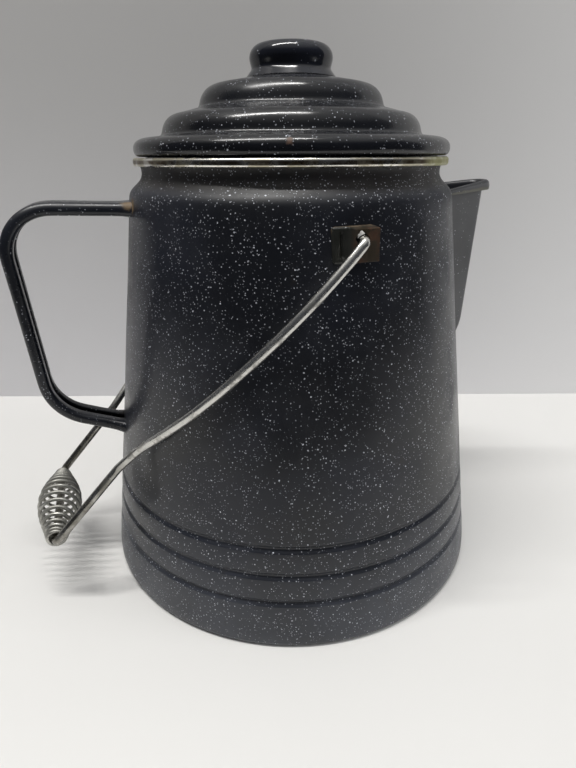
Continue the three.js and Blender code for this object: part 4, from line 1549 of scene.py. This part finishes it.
@dataclass
class BailEar:
    """One ear: a plate welded to the wall, with a raised pocket that the bail's hook turns in."""

    pot: Pot
    sheet: float = 1.5
    height: float = 15.5
    width: float = 20.4
    shift: float = 1.65
    pad_width: float = 14.5
    pad_rise: float = 6.9
    pad_drop: float = 2.4
    tilt: float = 1.2
    hole_radius: float = 2.78
    corner: float = 1.6
    side_run: float = 0.8
    step_run: float = 4.2
    weld_sink: float = 0.1
    groove_run: float = 4.4
    groove_half_width: float = 0.7
    groove_depth: float = 0.9
    groove_fade: Pair = (1.5, 3.5)
    rolled_reach: float = 0.9
    rolled_drop: float = 0.7
    worn_reach: float = 1.4
    worn_low_share: float = 0.62
    worn_from_share: float = 0.3
    inner_inset_share: float = 0.8
    hole_wear: float = 0.5
    hole_wear_turn: float = 2.2
    hole_wave: Wave = Wave(0.12, 5)
    pin_half_length: float = 3.2
    torn_turns: Pair = (1.45, 2.75)
    torn_peak_share: float = 0.3
    torn_reach: float = 1.5
    torn_overlap: float = 0.1
    torn_waves: tuple[Wave, ...] = (Wave(0.2, 17, 1.0), Wave(0.12, 31))
    torn_rises: tuple[float, ...] = (0.75, 0.5, 0.0)
    torn_edge_rise: float = 0.05
    torn_sheet: float = 0.5

    @property
    def hinge_height(self) -> float:
        """Height of the bail's hinge line."""
        return float(hinge_place("bail_swing")[2])

    @property
    def pad_face(self) -> float:
        """Distance of the pocket's face from the pot's middle plane."""
        return float(self.pot.cone_radius(self.hinge_height)) + self.pad_rise

    def face(self, inset: float, depth: float) -> tuple[Array, Array, Array]:
        """Grid of one side of the plate.

        The plate follows the wall, and rises to the pocket's flat face over short smooth steps
        at all four sides. A pressed groove runs up the welded flange.

        Args:
            inset: how far the pocket's sides are drawn in, for the plate's inner side.
            depth: how far this side lies below the plate's outer side.

        Returns:
            The points, how much each belongs to the pocket, and how near each is to the edge.
        """
        end = self.height / 2
        left, right = -self.shift - self.width / 2, -self.shift + self.width / 2
        up = np.linspace(-1, 1, num=61)[:, None] * self.height / 2
        over = np.maximum(np.abs(up) - (end - self.corner), 0)
        tuck = self.corner - np.sqrt(np.maximum(self.corner ** 2 - over ** 2, 0))
        x = lerp(left + tuck, right - tuck, np.linspace(0, 1, num=91)[None])
        up = up + 0 * x
        z = up - self.pad_drop
        pad_left, run = right - self.pad_width, self.side_run
        across = ramp(x, pad_left + inset, pad_left + self.step_run + inset)
        across = np.minimum(across, 1 - ramp(x, right - run - inset, right - inset))
        along = ramp(up, -end + inset, -end + run + inset) * (1 - ramp(up, end - run - inset, end - inset))
        pad = np.minimum(across, along)
        groove = np.exp(-((x - left - self.groove_run) / self.groove_half_width) ** 2)
        groove = groove * ramp(end - np.abs(up), *self.groove_fade)
        from_edge = np.minimum(np.minimum(x - left, right - x), end - np.abs(up))
        tilt = math.radians(self.tilt)
        x, z = x * math.cos(tilt) - z * math.sin(tilt), x * math.sin(tilt) + z * math.cos(tilt)
        z = z + self.hinge_height
        wall = np.sqrt(np.maximum(self.pot.radius_at(z) ** 2 - x ** 2, 0))
        flange = wall + self.sheet - self.weld_sink - depth
        rolled = ramp(self.rolled_reach - from_edge, 0, self.rolled_reach)
        if depth:
            groove, rolled = 0 * groove, 0 * rolled
        distance = lerp(flange - self.groove_depth * groove, self.pad_face - depth, pad)
        points = np.stack([x, self.rolled_drop * rolled - distance, z], axis=-1)
        upper = ramp(up, self.worn_from_share * end, end)
        edge = np.clip(1 - from_edge / self.worn_reach, 0, 1) * lerp(self.worn_low_share, 1, upper)
        return points, pad, edge

    def plate(self) -> Skin:
        """The whole plate for the ear at -Y.

        Returns:
            The plate without its hole, with the values that its finish needs.
        """
        outer, pad, edge = self.face(0, 0)
        inner, inner_pad, inner_edge = self.face(self.sheet * self.inner_inset_share, self.sheet)
        skin = walled(outer, inner)
        skin.values["pad"] = np.concatenate([pad.ravel(), inner_pad.ravel()])
        skin.values["edge"] = np.concatenate([edge.ravel(), inner_edge.ravel()])
        skin.values["bare"] = np.zeros(len(skin.points))
        return skin

    def hole_pin(self) -> Skin:
        """A pin through the pocket's face, worn out of round towards the bail's pull.

        Returns:
            The pin, which cuts the hole.
        """
        angles = np.linspace(0, 2 * math.pi, num=28, endpoint=False)
        worn = self.hole_wear * np.clip(np.cos(angles - self.hole_wear_turn), 0, 1) ** 2
        radius = self.hole_radius + worn + self.hole_wave.at(angles, 0 * angles)
        section = np.stack([radius * np.sin(angles), radius * np.cos(angles)], axis=1)
        path = np.array([[0, -self.pad_face - run, self.hinge_height]
                         for run in (self.pin_half_length, -self.pin_half_length)])
        return swept(path, section, np.array([1.0, 0.0, 0.0]))

    def torn_lip(self) -> Skin:
        """Bright torn metal at the hole's upper edge: a ragged point that stands off the face.

        Returns:
            The torn metal, with the values that its finish needs.
        """
        turn = np.linspace(*self.torn_turns, num=22)
        share = (turn - turn[0]) / (turn[-1] - turn[0])
        peak = self.torn_peak_share
        swell = np.clip(1 - np.abs(share - peak) / np.where(share < peak, peak, 1 - peak), 0, 1)
        ragged = waves_at(self.torn_waves, share, 0 * share)
        inner = self.hole_radius - self.torn_overlap
        outer = self.hole_radius + self.torn_overlap + swell * (self.torn_reach + ragged)
        radius = np.stack([inner + 0 * turn, lerp(inner, outer, 0.5), outer])
        rise = swell * np.array(self.torn_rises)[:, None]
        rise[-1] += self.torn_edge_rise
        grids = []
        for lift in (0, -self.torn_sheet):
            place = [radius * np.cos(turn), -(self.pad_face + rise + lift),
                     self.hinge_height + radius * np.sin(turn)]
            grids.append(np.stack(place, axis=-1))
        skin = walled(*grids)
        skin.values = {name: np.full(len(skin.points), level)
                       for name, level in (("pad", 1.0), ("edge", 0.0), ("bare", 1.0))}
        return skin

    def build(self, finish: Material) -> None:
        """Makes both ears, the second a mirror image of the first.

        Args:
            finish: the plates' finish.
        """
        for side, name in ((1, "right"), (-1, "left")):
            plate, pin, lip = self.plate(), self.hole_pin(), self.torn_lip()
            for skin in (plate, pin, lip):
                skin.points = skin.points * [1, side, 1]
            ear = plate.piece(f"ear_{name}")
            cut_out(ear, pin.piece(f"ear_pin_{name}"))
            dress(ear, Body.POT, finish, (f"bail_ear_{name}",))
            dress(lip.piece(f"ear_torn_lip_{name}"), Body.POT, finish)


@dataclass
class Bail:
    """The wire bail and the coil grip on its crosspiece."""

    pot: Pot
    ear: BailEar
    wire_radius: float = 2.38
    length: float = 225.5
    rest_gap: float = 0.5
    hook_radius: float = 3.2
    hook_reach: float = 4.2
    ear_wire_gap: float = 0.7
    kink_share: float = 0.7465
    kink_spread: float = 1.3
    corner_radius: float = 4.0
    coil_wire_radius: float = 1.1
    coil_end_play: float = 3.2
    coil_middle_radius: float = 11.75
    coil_bore_gap: float = 0.3
    coil_near_swell: float = 0.9
    coil_turns: int = 16
    coil_even_share: float = 0.48
    coil_taper: float = 1.25
    coil_length: float = 74.0
    coil_turn_points: int = 36
    tip_start: float = 0.3
    route_softness: float = 1.6
    route_step: float = 0.5
    route_turn: float = 0.07
    route_longest: float = 2.5

    @cached_property
    def rest_angle(self) -> float:
        """Angle of the bail from straight down, from the places of its hinge and its grip."""
        fall = hinge_place("bail_swing") - hinge_place("grip_spin")
        return math.atan2(fall[0], fall[2])

    def place(self, route: Array) -> Array:
        """Points of the bail's own plane put into the frame.

        Args:
            route: how far along the bail and how far across, one pair a row.

        Returns:
            The points in the frame.
        """
        along, across = route.T
        return np.stack([-along * math.sin(self.rest_angle), across,
                         self.ear.hinge_height - along * math.cos(self.rest_angle)], axis=1)

    def across_at(self, along: Array, stand_off: Array) -> Array:
        """How far out an arm runs so that its wire stands off the wall by its gap and more.

        Args:
            along: places along the bail.
            stand_off: how much further the wire stands off at each.

        Returns:
            How far across the wire's middle lies at each.
        """
        along = np.asarray(along, float)
        x, _, z = self.place(np.stack([along, 0 * along], axis=-1).reshape(-1, 2)).T
        clear = self.pot.cone_radius(z) + self.rest_gap + self.wire_radius + stand_off
        return np.sqrt(np.maximum(clear ** 2 - x ** 2, 0))

    def half_route(self) -> Array:
        """Half of the bail: hook, bowed arm, kink and corner.

        The arm's shares say how far along each guide lies, and how much of the hook's stand-off
        it still has.

        Returns:
            How far along and across, one pair a row.
        """
        arm_shares = np.array([
            [0.054, 0.9], [0.134, 0.71], [0.224, 0.45], [0.313, 0.18], [0.403, 0.03],
            [0.45, 0], [0.5, 0], [0.56, 0.01], [0.613, 0.13], [0.671, 0.43],
        ])
        arm_half_width = self.ear.pad_face + self.ear_wire_gap + self.wire_radius
        leg_half_width = self.coil_length / 2 + self.coil_end_play
        kink_along = self.length * self.kink_share
        kink = max(leg_half_width + self.kink_spread, self.across_at([kink_along], 0)[0])
        stand_off = arm_half_width - self.across_at([0], 0)[0]
        along = self.length * arm_shares[:, 0]
        across = np.maximum(self.across_at(along, stand_off * arm_shares[:, 1]), kink)
        guides = np.concatenate([[[self.hook_radius, arm_half_width]], np.stack([along, across], axis=1),
                                 [[kink_along, kink]]])
        tip = arm_half_width - self.hook_radius - self.hook_reach
        hook = arc((self.hook_radius, arm_half_width - self.hook_radius),
                   self.hook_radius, 180, 90)
        corner = arc((self.length - self.corner_radius, leg_half_width - self.corner_radius),
                     self.corner_radius, 90, 0)
        arm = softened(np.concatenate([spline_through(guides), corner[:1]]), self.route_softness,
                       self.route_step)
        whole = np.concatenate([[[0, tip]], hook, arm[1:-1], corner])
        return thinned(whole, self.route_turn, self.route_longest)

    def wire(self) -> Skin:
        """The bail's wire, with its tips rounded off.

        Returns:
            The wire.
        """
        half = self.half_route()
        path = self.place(np.concatenate([half * [1, -1], half[::-1]]))
        side = np.array([math.cos(self.rest_angle), 0.0, -math.sin(self.rest_angle)])
        marks = lengths_along(path)
        from_end = np.minimum(marks, marks[-1] - marks)
        from_tip = np.clip((from_end + self.tip_start) / self.wire_radius, 0, 1)
        tip = np.sqrt(1 - (1 - from_tip) ** 2)
        section = round_section(self.wire_radius, sides=20)
        return swept(path, section[None] * tip[:, None, None], side)

    def coil(self) -> Skin:
        """The grip: a wire wound as a spindle whose turns touch at both ends and open in its middle.

        At a share s from -1 to 1 the wire lies across at the mix of s and s + sin(pi s) / pi,
        which crowds the ends, and its radius falls from the middle's to the end's as a power
        of the cosine of that place.

        Returns:
            The coil.
        """
        share = np.linspace(-1, 1, self.coil_turns * self.coil_turn_points + 1)
        crowded = lerp(share + np.sin(math.pi * share) / math.pi, share, self.coil_even_share)
        across = (self.coil_length / 2 - self.coil_wire_radius) * crowded
        end_radius = self.wire_radius + self.coil_bore_gap + self.coil_wire_radius
        end_radius = end_radius + self.coil_near_swell * ramp(-crowded, 0, 1)
        bulge = np.cos(crowded * math.pi / 2).clip(0, 1) ** self.coil_taper
        radius = lerp(end_radius, self.coil_middle_radius, bulge)
        turn = (share + 1) * math.pi * self.coil_turns
        centre = hinge_place("grip_spin")
        path = np.stack([centre[0] + radius * np.cos(turn), across,
                         centre[2] + radius * np.sin(turn)], axis=1)
        outward = path - [centre[0], 0, centre[2]]
        outward[:, 1] = 0
        way = directions_along(path)
        side = np.cross(way, outward)
        side /= np.linalg.norm(side, axis=1)[:, None]
        return swept(path, round_section(self.coil_wire_radius, sides=10), side)

    def build(self, wire: Material, coil: Material) -> None:
        """Makes the wire and the grip."""
        dress(self.wire().piece("bail"), Body.BAIL, wire, ("bail_wire",))
        dress(self.coil().piece("spring_grip"), Body.GRIP, coil, ("coil_grip",))


@dataclass
class Lid:
    """The stepped lid, its skirt and its knob."""

    pot: Pot
    sheet: float = 1.2
    overhang: float = 1.0
    rim_height: float = 4.6
    rim_curl: float = 1.9
    rim_turn_height: float = 2.5
    shift: float = 0.6
    tier_steps: tuple[float, ...] = (0.0, 15.4, 20.6)
    tier_rises: tuple[float, ...] = (4.7, 10.6, 11.0)
    tier_rounds: tuple[float, ...] = (8.0, 9.0, 10.0)
    tier_crowns: tuple[float, ...] = (0.8, 3.0, 3.0)
    valley_reach: float = 1.5
    skirt_gap: float = 0.9
    skirt_depth: float = 12.0
    skirt_flange: float = 2.4
    knob_radius: float = 22.1
    knob_foot_spread: float = 2.2
    knob_waist_inset: float = 1.3
    knob_dome: float = 1.5
    knob_round: float = 6.5
    knob_waist_share: float = 0.24
    knob_swell_share: float = 0.5
    shell_turn: float = 0.07
    shell_longest: float = 5.0
    knob_softness: float = 0.9
    knob_longest: float = 3.0
    segments: int = 160

    @property
    def seat(self) -> float:
        """Level that the lid rests on."""
        return float(span_of("lid_shell")[0][2])

    @property
    def skirt_radius(self) -> float:
        """Outer radius of the skirt inside the neck."""
        return self.pot.neck_radius - self.pot.sheet - self.skirt_gap

    def outline(self) -> Array:
        """Outside of the lid, from its turned-in rim up over the tiers to the axis.

        Returns:
            Radius and height, one pair a row.
        """
        base = self.seat + self.rim_height
        radius = self.pot.flange_radius + self.overhang
        curl = (self.rim_curl, self.rim_turn_height)
        parts = [np.array([[self.skirt_radius + self.pot.seat_gap, self.seat]]),
                 arc((radius - self.rim_curl, self.seat + self.rim_turn_height), curl, -90, 0)]
        tiers = zip(self.tier_steps, self.tier_rises, self.tier_rounds, self.tier_crowns)
        for step, rise, round_, crown in tiers:
            radius -= step
            parts.append(arc((radius - round_, base), (round_, rise), 0, 90))
            base += rise + crown
        parts.append(np.array([[self.knob_radius + self.knob_foot_spread, base], [0, base]]))
        return np.concatenate(parts)

    def shell(self) -> Skin:
        """The lid's sheet, with its valleys rounded.

        Returns:
            The sheet, closed on the axis.
        """
        outside = softened(self.outline(), self.valley_reach)
        outside = thinned(outside, self.shell_turn, self.shell_longest)
        inside = offset_outline(outside, self.sheet)[::-1]
        inside[0, 0] = 0
        outside[-1, 0] = 0
        cut = np.argmin(np.abs(inside[:, 1] - self.seat - self.sheet))
        inner_lip = np.array([[outside[0, 0], self.seat + self.sheet]])
        whole = np.concatenate([inside[:cut], inner_lip, outside])
        return self.shifted(revolved(whole, self.segments, closed=False))

    def shifted(self, skin: Skin) -> Skin:
        """Moves a piece of the lid towards the spout, as far as the lid lies off the middle."""
        skin.points = skin.points + [self.shift, 0, 0]
        return skin

    def skirt(self) -> Skin:
        """The ring under the lid that keeps it centred, with its edges eased.

        Returns:
            The ring.
        """
        low = self.seat + self.sheet + self.pot.seat_gap
        high = low + self.sheet
        foot = self.seat - self.skirt_depth
        inner, outer = self.skirt_radius - self.sheet, self.skirt_radius
        tip = self.sheet / 2
        outline = np.concatenate([
            arc((inner + tip, foot + tip), tip, 180, 360, count=8),
            [[outer, low], [outer + self.skirt_flange, low]],
            [[outer + self.skirt_flange, high], [inner, high]],
        ])
        return self.shifted(revolved(outline, self.segments))

    def knob(self) -> Skin:
        """The knob: a hollow pressing with a spread foot, a waist, a swell and a rounded top.

        Returns:
            The knob, closed on the axis.
        """
        foot, top = (corner[2] for corner in span_of("lid_knob"))
        height = top - foot
        spread = self.knob_radius + self.knob_foot_spread
        outside = np.concatenate([
            [[spread, foot],
             [self.knob_radius - self.knob_waist_inset, foot + height * self.knob_waist_share],
             [self.knob_radius, foot + height * self.knob_swell_share]],
            arc((self.knob_radius - self.knob_round, top - self.knob_dome - self.knob_round),
                self.knob_round, 0, 90),
            [[0, top]],
        ])
        outside = thinned(softened(outside, self.knob_softness), self.shell_turn, self.knob_longest)
        outside[-1, 0] = 0
        inside = offset_outline(outside, self.sheet)[::-1]
        inside[0, 0] = 0
        inside[-1, 1] = foot
        return self.shifted(revolved(np.concatenate([inside, outside]), self.segments, closed=False))

    def build(self, enamel: Material, knob: Material) -> None:
        """Makes the lid, its skirt and its knob."""
        dress(self.shell().piece("stepped_lid"), Body.LID, enamel, ("lid_shell",))
        dress(self.skirt().piece("lid_collar"), Body.LID, enamel, ("lid_skirt",))
        dress(self.knob().piece("knob"), Body.LID, knob, ("lid_knob",))


# Studio


@dataclass
class Studio:
    """Camera, lamps, table and backdrop."""

    camera_place: Place = (-103.26, -308.62, 240.79)
    heading: float = 18.162
    pitch: float = 23.197
    roll: float = -0.291
    focal_pixels: float = 533.0
    frame_pixels: float = 768.0
    sensor: float = 36.0
    nearest: float = 10.0
    farthest: float = 20000.0
    tube_place: Place = (-430.0, -90.0, 1700.0)
    tube_length: float = 1200.0
    tube_width: float = 50.0
    tube_power: float = 21.0
    tube_colour: tuple[float, float, float] = (1.0, 0.985, 0.96)
    window_place: Place = (1269.0, -943.0, 900.0)
    window_size: float = 900.0
    window_power: float = 7.5
    table_back: float = 206.0
    table_front: float = 430.0
    table_half_width: float = 1000.0
    table_colour: Colour = (0.79, 0.785, 0.77, 1)
    table_dim_share: float = 0.95
    table_cloud_size: float = 200.0
    table_gloss: float = 0.55
    wall_half_width: float = 1300.0
    wall_height: float = 1500.0
    # The backdrop's colours are painted light: paler at its foot and towards its right, where more light
    # falls.
    wall_low: Colour = (0.75, 0.745, 0.765, 1)
    wall_high: Colour = (0.52, 0.515, 0.51, 1)
    wall_lit_right: Colour = (0.92, 0.918, 0.915, 1)
    wall_light_fade_height: float = 360.0
    wall_right_span: Pair = (-100.0, 600.0)
    wall_gloss: float = 0.8
    floor_light: Colour = (0.045, 0.047, 0.052, 1)
    level_light: Colour = (0.075, 0.078, 0.088, 1)
    top_light: Colour = (0.7, 0.7, 0.69, 1)
    seen_low: Colour = (0.5, 0.495, 0.49, 1)
    seen_high: Colour = (0.38, 0.375, 0.37, 1)

    def camera(self) -> None:
        """Makes the camera: turned to its heading, tipped down by its pitch, and rolled."""
        data = bpy.data.cameras.new("camera")
        data.sensor_width = self.sensor
        data.lens = self.focal_pixels / self.frame_pixels * self.sensor
        data.clip_start, data.clip_end = self.nearest * MM, self.farthest * MM
        turn = (Matrix.Rotation(math.radians(-self.heading), 4, "Z")
                @ Matrix.Rotation(math.radians(90 - self.pitch), 4, "X")
                @ Matrix.Rotation(math.radians(self.roll), 4, "Z"))
        made = placed("camera", data)
        made.matrix_world = Matrix.Translation(Vector(self.camera_place) * MM) @ turn
        bpy.context.scene.camera = made

    def tube(self) -> None:
        """Hangs the long tube lamp overhead, square to the camera's heading."""
        data = bpy.data.lights.new("tube", "AREA")
        data.shape = "RECTANGLE"
        data.size, data.size_y = self.tube_length * MM, self.tube_width * MM
        data.energy = self.tube_power
        data.color = self.tube_colour
        made = placed("tube", data)
        made.location = Vector(self.tube_place) * MM
        made.rotation_euler = (0, 0, math.radians(-self.heading))

    def window(self) -> None:
        """Sets the soft square lamp at the front right, turned to the pot and kept out of reflections."""
        data = bpy.data.lights.new("window", "AREA")
        data.size = self.window_size * MM
        data.energy = self.window_power
        made = placed("window", data)
        made.location = Vector(self.window_place) * MM
        made.rotation_euler = (-made.location).to_track_quat("-Z", "Y").to_euler()
        made.visible_glossy = False

    def slab(self, name: str, corners: list[Place], finish: Material) -> None:
        """Makes a flat stage piece.

        Args:
            name: the piece's name.
            corners: its four corners, as if the camera's heading were 0.
            finish: its material.
        """
        turn = Matrix.Rotation(math.radians(-self.heading), 3, "Z")
        mesh = bpy.data.meshes.new(name)
        mesh.from_pydata([tuple(turn @ Vector(corner) * MM) for corner in corners], [], [(0, 1, 2, 3)])
        mesh.materials.append(finish)
        placed(name, mesh)

    def table_finish(self) -> Material:
        """Pale matt table top with a faint unevenness."""
        finish = Finish("table_top")
        cloud = finish.nodes.noise(finish.place, self.table_cloud_size * MM, 2.0)
        dim = tuple(self.table_dim_share * v for v in self.table_colour[:3]) + (1,)
        colour = finish.nodes.mix(cloud, dim, self.table_colour)
        finish.set(Base_Color=colour, Roughness=self.table_gloss)
        return finish.material

    def wall_finish(self) -> Material:
        """Pale backdrop with painted light, lighter towards its foot and its right where more light
        falls, that only its front shows.

        Returns:
            The material, clear from behind.
        """
        finish = Finish("backdrop")
        nodes = finish.nodes
        # painted light: the backdrop pales towards its foot
        fade = nodes.ramp(nodes.level(finish.place), 0.0, self.wall_light_fade_height * MM)
        colour = nodes.mix(fade, self.wall_low, self.wall_high)
        # painted light: the backdrop pales towards its right
        turn = math.radians(self.heading)
        across = nodes.measure("DOT_PRODUCT", finish.place, (math.cos(turn), -math.sin(turn), 0))
        right = nodes.ramp(across, *(place * MM for place in self.wall_right_span))
        colour = nodes.mix(right, colour, self.wall_lit_right)
        finish.set(Base_Color=colour, Roughness=self.wall_gloss)
        back = nodes.add("ShaderNodeNewGeometry").outputs["Backfacing"]
        clear = nodes.add("ShaderNodeBsdfTransparent").outputs[0]
        both = nodes.add("ShaderNodeMixShader", {0: back, 1: finish.shader.outputs[0], 2: clear}).outputs[0]
        nodes.feed(finish.output.inputs["Surface"], both)
        return finish.material

    def world(self) -> None:
        """Soft sky: dim at eye level and below, brighter overhead, and pale grey to the camera."""
        world = bpy.data.worlds.new("room")
        bpy.context.scene.world = world
        world.use_nodes = True
        world.node_tree.nodes.clear()
        nodes = Nodes(world.node_tree)
        up = nodes.level(nodes.add("ShaderNodeTexCoord").outputs["Generated"])
        low = nodes.mix(nodes.ramp(up, low=-0.25, high=0.2), self.floor_light, self.level_light)
        sky = nodes.mix(nodes.ramp(up, low=0.45, high=0.95), low, self.top_light)
        seen = nodes.mix(nodes.ramp(up, low=-0.3, high=0.3), self.seen_low, self.seen_high)
        camera_ray = nodes.add("ShaderNodeLightPath").outputs["Is Camera Ray"]
        shown = nodes.mix(camera_ray, sky, seen)
        light = nodes.add("ShaderNodeBackground", {"Color": shown, "Strength": 1.0})
        nodes.add("ShaderNodeOutputWorld", {"Surface": light.outputs[0]})

    def build(self) -> None:
        """Makes the camera, the lamps, the stage and the world."""
        bpy.context.scene.view_settings.view_transform = "Standard"
        self.camera()
        self.tube()
        self.window()
        wide, front = self.table_half_width, self.table_front
        self.slab("table", [(-wide, -front, 0), (wide, -front, 0), (wide, front, 0), (-wide, front, 0)],
                  self.table_finish())
        wide, back, high = self.wall_half_width, self.table_back, self.wall_height
        self.slab("backdrop", [(-wide, back, 0), (wide, back, 0), (wide, back, high), (-wide, back, high)],
                  self.wall_finish())
        self.world()


@dataclass
class Finishes:
    """The pot's finishes, set to what the photograph shows on each piece."""

    pot: Pot
    weld: Colour = (0.2, 0.135, 0.07, 1)
    wall_weld: Spot = Spot((-89.0, -12.0, 217.5), 4.6, weld)
    handle_weld: Spot = Spot((-91.0, -8.5, 218.0), 4.8, weld)
    lid_chip: Spot = Spot((-27.0, -80.0, 246.5), 2.2, (0.1, 0.05, 0.028, 1))
    band_green: Spot = Spot((58.0, -62.0, 238.0), 30.0, (0.34, 0.34, 0.15, 1))
    # height up to which the wall's painted reflection of the table reaches
    wall_foot_reflection_height: float = 75.0
    shoulder_stain: Pair = (5.0, 10.0)
    streak_shares: tuple[float, ...] = (0.08, 0.28, 0.55, 0.78)
    wire_zone: tuple[float, float, float, float] = (-20.0, -10.0, 68.0, 108.0)

    def enamels(self) -> list[Enamel]:
        """Settings of the enamel on each pressing."""
        start, full = (self.pot.shoulder_height + rise for rise in self.shoulder_stain)
        return [
            # wall: its paler film towards the foot is a painted reflection of the bright table
            Enamel("wall_enamel", gloss=0.29, smudge=0.18, foot_reflection_height=self.wall_foot_reflection_height,
                   stain_from=start, stain_to=full, stain_dulls=0.16, spots=(self.wall_weld,)),
            # lid: the wall's enamel with darker base colours, painted shade set against the overhead light
            # that its upward faces catch
            Enamel("lid_enamel", dark=(0.0035, 0.004, 0.006, 1), light=(0.006, 0.007, 0.0105, 1),
                   gloss=0.175, smudge=0.11, speck_share=0.3, fine_share=0.45, spots=(self.lid_chip,)),
            Enamel("knob_enamel", gloss=0.12, smudge=0.05, speck_share=0.07, fine_share=0.1,
                   stain_cover=0.05),
            # spout: base colours much paler than the wall's, painted light for its lit flank; its inner side
            # below the lip takes painted shade
            Enamel("spout_enamel", dark=(0.056, 0.057, 0.061, 1), light=(0.095, 0.096, 0.101, 1),
                   gloss=0.34, speck_share=0.1, fine_share=0.12, worn=(0.16, 0.158, 0.13, 1),
                   inside=(0.012, 0.013, 0.017, 1)),
            Enamel("handle_enamel", gloss=0.27, speck_share=0.3, fine_share=0.3,
                   spots=(self.handle_weld,)),
        ]

    def steels(self) -> list[Steel]:
        """Settings of the steel on the band, the wire and the coil."""
        low, high = (float(corner[2]) for corner in span_of("rim_band"))
        # heights of a darker brownish zone across the band's lower middle
        streak = tuple(lerp(low, high, share) for share in self.streak_shares)
        return [
            Steel("band_steel", bright=(0.86, 0.84, 0.79, 1), dull=(0.4, 0.36, 0.24, 1), gloss=0.2,
                  dull_cover=0.5, scratch_cover=0.3, straightened=False, zone=streak,
                  spots=(self.band_green,)),
            Steel("wire_steel", bright=(0.64, 0.63, 0.6, 1), dull=(0.28, 0.275, 0.255, 1), gloss=0.22,
                  zone=self.wire_zone, zone_colour=(0.2, 0.19, 0.165, 1)),
            Steel("coil_steel", bright=(0.56, 0.555, 0.52, 1), dull=(0.3, 0.295, 0.27, 1), gloss=0.36,
                  dull_cover=0.6, scratch_cover=0.2),
        ]

    def build(self) -> dict[str, Material]:
        """Makes every finish.

        Returns:
            The materials by name.
        """
        finishes = [*self.enamels(), *self.steels(), ScorchedPlate("scorched_plate")]
        return {finish.name: finish.build() for finish in finishes}


def main() -> None:
    """Builds the camera and stage, the finishes and every sub-assembly."""
    logging.basicConfig(level=logging.INFO, format="%(name)s: %(message)s")
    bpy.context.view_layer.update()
    Studio().build()
    pot = Pot()
    spout = Spout(pot)
    ear = BailEar(pot)
    finishes = Finishes(pot).build()
    pot.build(finishes["wall_enamel"], finishes["band_steel"], spout)
    spout.build(finishes["spout_enamel"])
    StrapHandle(pot).build(finishes["handle_enamel"])
    ear.build(finishes["scorched_plate"])
    Bail(pot, ear).build(finishes["wire_steel"], finishes["coil_steel"])
    Lid(pot).build(finishes["lid_enamel"], finishes["knob_enamel"])


if __name__ == "__main__":
    main()
